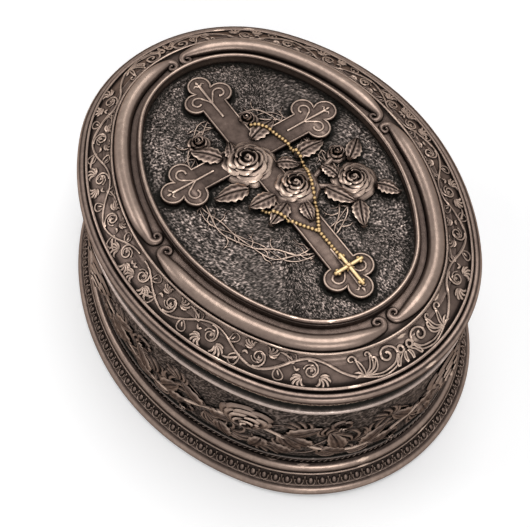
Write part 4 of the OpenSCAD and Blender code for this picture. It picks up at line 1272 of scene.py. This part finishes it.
def make_wreath():
    lines = []
    for phase, wave, r in [(0, TWINE_WAVE, 0.24), (180, TWINE_WAVE, 0.22), (90, 0.09, 0.18)]:
        q = np.radians(np.linspace(0, 360, 91)[:-1])
        k = 1 + wave * np.cos(5 * q + math.radians(phase)) + 0.014 * np.sin(13 * q + phase)
        ring = on_wreath(q, k)
        closed = np.vstack([ring, ring[:1]])
        lines.append((closed, r * (1 + 0.18 * np.sin(np.arange(91) * 1.3))))
    for k in range(THORNS):
        q = math.radians(360 * k / THORNS + 3 * math.sin(k * 2.1))
        p = on_wreath(q, 1 + TWINE_WAVE * math.cos(5 * q + math.pi * (k % 2)))
        a = q + math.radians(90 + (-50 if k % 4 < 2 else 128) + 18 * math.sin(k * 1.7))
        d = np.array([math.cos(a), math.sin(a)])
        side = np.array([-d[1], d[0]]) * (-1) ** k
        tip = p + (3.6 + math.sin(k)) * d + 0.6 * side
        twig = [p, p + 1.5 * d + 0.5 * side, p + 2.7 * d + 0.1 * side, tip]
        lines.append((curved(twig, 8), tapered(8, 0.22, 0.08)))
        if k % 3 == 0:
            lines.append((curved([twig[2], twig[2] + 0.9 * d - 0.9 * side], 4), tapered(4, 0.22, 0.06)))
    wreath = wrap(strokes("thorn_wreath_relief", lines, 1), on_panel, 0.14)
    smooth(wreath, 60)
    finished(wreath, "lid", "bronze", relief_bronze, "thorn_wreath")


# The spray's places are shares of the cross's reach along x and y, and its sizes shares of the arm.
# A bloom's place, radius and height, and a leaf's root, angle, length and width
ROSES = [(-0.21, -0.1, 0.28, 0.165), (0.11, 0.13, 0.24, 0.15), (0.28, 0.63, 0.235, 0.14)]
BUDS = [(-0.52, -0.37, 0.12, 0.11), (-0.51, 0.18, 0.12, 0.11), (0.04, 0.69, 0.11, 0.1)]
SPRAY_LEAVES = [(-0.32, -0.29, 215, 0.31, 0.18), (-0.35, 0.08, 110, 0.31, 0.17),
                (-0.03, -0.27, 250, 0.33, 0.19), (0.19, -0.06, -60, 0.27, 0.16),
                (0.23, 0.35, 20, 0.31, 0.17), (-0.08, 0.33, 95, 0.31, 0.17),
                (0.43, 0.53, -35, 0.27, 0.16), (0.39, 0.78, 40, 0.23, 0.15),
                (0.13, 0.74, 120, 0.25, 0.16), (0.1, -0.1, 272, 0.27, 0.18),
                (0.25, 0.08, -20, 0.2, 0.13), (-0.28, -0.2, 165, 0.2, 0.13),
                (0.2, 0.52, 190, 0.2, 0.13), (-0.1, 0.12, 60, 0.22, 0.14)]
SPRAY_STEMS = [[(-0.52, -0.37), (-0.4, -0.27), (-0.27, -0.2)], [(-0.51, 0.18), (-0.41, 0.1), (-0.32, 0)],
               [(0.04, 0.69), (0.08, 0.47), (0.12, 0.27)], [(0.28, 0.55), (0.19, 0.35), (0.11, 0.2)]]


def on_cross(p):
    """Place in millimetres of a share of the cross's reach."""
    return (p[0] * FOOT_X, p[1] * ARM_Y)


def make_spray():
    blooms = []
    for places, rounds, turn, detail in [(ROSES, 5, 35, 8), (BUDS, 3, 50, 6)]:
        for k, p in enumerate(places):
            bloom = rose(p[2] * ARM_Y, p[3] * ARM_Y, rounds, turn * k, detail)
            blooms.append(placed(bloom, *on_cross(p)))
    roses = wrap(join("rose_bloom_relief", blooms), on_panel, 2.0)
    smooth(roses, 50)
    finished(roses, "lid", "bronze", rose_bronze, "rose_blooms")

    blades = []
    for k, p in enumerate(SPRAY_LEAVES):
        blade = leaf(p[3] * ARM_Y, p[4] * ARM_Y, 1.4, 5, 0.12 * (-1) ** k, 24, 12, 0.8)
        blades.append(placed(blade, *on_cross(p), p[2], 1.1))
    twigs = strokes("twigs", [(curved([on_cross(p) for p in path], 14), 0.9) for path in SPRAY_STEMS], 2)
    leaves = wrap(join("rose_leaf_relief", blades + [twigs]), on_panel, 2.4)
    smooth(leaves, 50)
    finished(leaves, "lid", "bronze", rose_bronze, "rose_leaves")
    return roses, leaves


CRUCIFIX_AT = (FOOT_X - 12.4, 0.6)
# Both strands meet at the last point, a share of the cross's reach like the spray's places
RIGHT_STRAND = [(-0.45, 0.17), (-0.33, 0.29), (-0.16, 0.35), (0, 0.34), (0.16, 0.255), (0.32, 0.15),
                (0.467, 0.02)]
LEFT_STRAND = [(0.13, -0.27), (0.23, -0.2), (0.36, -0.09), RIGHT_STRAND[-1]]
HIDDEN_BEADS = 3
BEAD_R = 0.5
BEAD_PITCH = 1.0


def make_rosary(under):
    """Gold beads that lie along three strands on whatever is under them."""
    trees = [BVHTree.FromPolygons([v.co.copy() for v in o.data.vertices],
                                  [tuple(p.vertices) for p in o.data.polygons]) for o in under]

    def top(x, y):
        hits = [t.ray_cast(Vector((x * MM, y * MM, 0.08)), Vector((0, 0, -1)))[0] for t in trees]
        return max([h.z / MM for h in hits if h] + [PANEL_Z])

    deselect()
    bpy.ops.mesh.primitive_uv_sphere_add(segments=10, ring_count=8, radius=BEAD_R)
    bead = bpy.context.object
    beads, links = [], []
    strands = [[on_cross(p) for p in strand] for strand in (RIGHT_STRAND, LEFT_STRAND)]
    for strand in strands + [[strands[0][-1], CRUCIFIX_AT]]:
        path = curved(strand, 200)
        run = np.concatenate([[0], np.cumsum(np.hypot(*np.diff(path, axis=0).T))])
        centres = []
        for s in np.arange(0, run[-1], BEAD_PITCH):
            x, y = np.interp(s, run, path[:, 0]), np.interp(s, run, path[:, 1])
            under_leaf = strand is strands[1] and len(centres) < HIDDEN_BEADS
            centres.append((x, y, (PANEL_Z if under_leaf else top(x, y)) + 0.3 * BEAD_R))
        z = np.array([c[2] for c in centres])
        z = np.maximum(z, np.convolve(np.pad(z, 1, mode="edge"), [0.25, 0.5, 0.25], "valid"))
        centres = [(c[0], c[1], h) for c, h in zip(centres, z)]
        for centre in centres:
            beads.append(placed(copy_of(bead), centre[0], centre[1], 0, centre[2]))
        links.append((centres, 0.16))
    bpy.data.objects.remove(bead)
    chain = strokes("chain", links, 0)
    rosary = join("rosary_bead_strands", beads + [chain])
    set_coords(rosary, coords(rosary) * MM)
    smooth(rosary, 60)
    finished(rosary, "lid", "gold_paint", gold_paint, "rosary_beads")


def ball(radius, place, segments=10):
    bpy.ops.mesh.primitive_uv_sphere_add(segments=segments, ring_count=8, radius=radius)
    obj = bpy.context.object
    obj.data.transform(Matrix.Translation(place))
    return obj


def make_crucifix():
    length, w, t = 9.8, 1.1, 0.9
    x, y = CRUCIFIX_AT
    arm = 0.4 * length
    half = 0.42 * length
    z = t / 2
    bar_r = 0.45 * w
    lines = [([(0.5, 0, z), (length - 0.5, 0, z)], bar_r),
             ([(arm, -half + 0.5, z), (arm, half - 0.5, z)], bar_r)]
    for k in range(4):
        q = math.radians(45 + 90 * k)
        for spread, reach in [(-0.35, 1.0), (0, 1.35), (0.35, 1.0)]:
            tip = (arm + reach * math.cos(q + spread), reach * math.sin(q + spread), 0.2)
            lines.append(([(arm, 0, z), tip], (0.16, 0.08)))
    parts = [strokes("bars", lines, 2)]
    for end in [(length - 0.6, 0, 0), (0.6, 0, 180), (arm, half - 0.6, 90), (arm, -half + 0.6, 270)]:
        for along, across, r in [(0.12, 0, 0.46), (-0.5, 0.5, 0.38), (-0.5, -0.5, 0.38)]:
            parts.append(ball(r * w, (*turned(*end, [(along, across)])[0], z)))
    parts.append(ball(0.5 * w, (arm, 0, t - 0.1), 12))
    cross = join("crucifix_gold", parts)
    co = coords(cross)
    co[:, 2] = np.minimum(co[:, 2], t + 0.5)
    set_coords(cross, (co + (x, y, CROSS_TOP - 0.1)) * MM)
    smooth(cross, 50)
    finished(cross, "lid", "gold_paint", gold_paint, "rosary_crucifix")


# Camera, floor and light

# The camera's place in metres and its turn in degrees, as the ovals in the photo set them
CAMERA_AT = (0.09935, -0.07428, 0.24270)
CAMERA_TURN = (28.512, -1.035, 55.890)
# Name, place, size and power of each lamp, which all face the box's middle
LAMPS = [("overhead", (-0.05, 0.12, 0.75), 0.5, 3.0), ("front", (0.75, -0.35, 0.55), 0.4, 2.7),
         ("left", (-0.55, -0.6, 0.5), 0.4, 1.8)]
BOX_MIDDLE = (0, 0, 0.03)


def make_camera():
    view = bpy.data.cameras.new("view")
    view.lens = 62.5
    view.sensor_width = 36
    view.clip_start = 0.01
    cam = bpy.data.objects.new("view", view)
    cam.location = CAMERA_AT
    cam.rotation_euler = [math.radians(a) for a in CAMERA_TURN]
    bpy.context.collection.objects.link(cam)
    bpy.context.scene.camera = cam


def make_floor():
    """White floor whose glow, for the camera and in reflections, grows away from the box and its shadow."""
    deselect()
    bpy.ops.mesh.primitive_plane_add(size=6)
    floor = bpy.context.object
    floor.name = "floor"
    mat = bpy.data.materials.new("white_floor")
    mat.use_nodes = True
    shader = mat.node_tree.nodes["Principled BSDF"]
    shader.inputs["Base Color"].default_value = (0.93, 0.93, 0.93, 1)
    shader.inputs["Roughness"].default_value = 0.9
    shader.inputs["Specular IOR Level"].default_value = 0.1
    tree = mat.node_tree
    glow = node(tree, "ShaderNodeEmission")
    away = node(tree, "ShaderNodeVectorMath", operation="LENGTH")
    tree.links.new(node(tree, "ShaderNodeTexCoord").outputs["Object"], away.inputs[0])
    fade = node(tree, "ShaderNodeMapRange")
    for socket, value in [("From Min", 0.08), ("From Max", 0.5), ("To Min", 0.2), ("To Max", 0.8)]:
        fade.inputs[socket].default_value = value
    tree.links.new(away.outputs["Value"], fade.inputs["Value"])
    tree.links.new(fade.outputs["Result"], glow.inputs["Strength"])
    both = node(tree, "ShaderNodeAddShader")
    tree.links.new(shader.outputs["BSDF"], both.inputs[0])
    tree.links.new(glow.outputs["Emission"], both.inputs[1])
    mix = node(tree, "ShaderNodeMixShader")
    tree.links.new(seen_or_reflected(tree), mix.inputs["Fac"])
    tree.links.new(shader.outputs["BSDF"], mix.inputs[1])
    tree.links.new(both.outputs["Shader"], mix.inputs[2])
    tree.links.new(mix.outputs["Shader"], tree.nodes["Material Output"].inputs["Surface"])
    floor.data.materials.append(mat)


def make_lamps():
    for name, place, size, power in LAMPS:
        lamp = bpy.data.lights.new(name, "AREA")
        lamp.shape = "SQUARE"
        lamp.size = size
        lamp.energy = power
        obj = bpy.data.objects.new(name, lamp)
        obj.location = place
        obj.rotation_euler = (Vector(BOX_MIDDLE) - Vector(place)).to_track_quat("-Z", "Y").to_euler()
        bpy.context.collection.objects.link(obj)


def make_world():
    """Pale light for the box, and plain white for the camera and for what the metal reflects."""
    world = bpy.data.worlds.new("studio")
    world.use_nodes = True
    tree = world.node_tree
    sky = tree.nodes["Background"]
    sky.inputs["Color"].default_value = (0.9, 0.9, 0.92, 1)
    sky.inputs["Strength"].default_value = 0.3
    white = node(tree, "ShaderNodeBackground")
    white.inputs["Color"].default_value = (1, 1, 1, 1)
    white.inputs["Strength"].default_value = 1.0
    mix = node(tree, "ShaderNodeMixShader")
    tree.links.new(seen_or_reflected(tree), mix.inputs["Fac"])
    tree.links.new(sky.outputs["Background"], mix.inputs[1])
    tree.links.new(white.outputs["Background"], mix.inputs[2])
    tree.links.new(mix.outputs["Shader"], tree.nodes["World Output"].inputs["Surface"])
    bpy.context.scene.world = world
    bpy.context.scene.view_settings.view_transform = "Standard"


make_camera()
make_floor()
make_lamps()
make_world()
make_foot()
make_eggs()
make_wall()
make_foot_band()
make_lining()
make_frieze()
make_lid()
make_leaf_band()
make_scrollwork()
make_rim()
make_frame_scrolls()
make_panel()
cross = make_cross()
make_wreath()
roses, leaves = make_spray()
make_rosary([cross, roses, leaves])
make_crucifix()
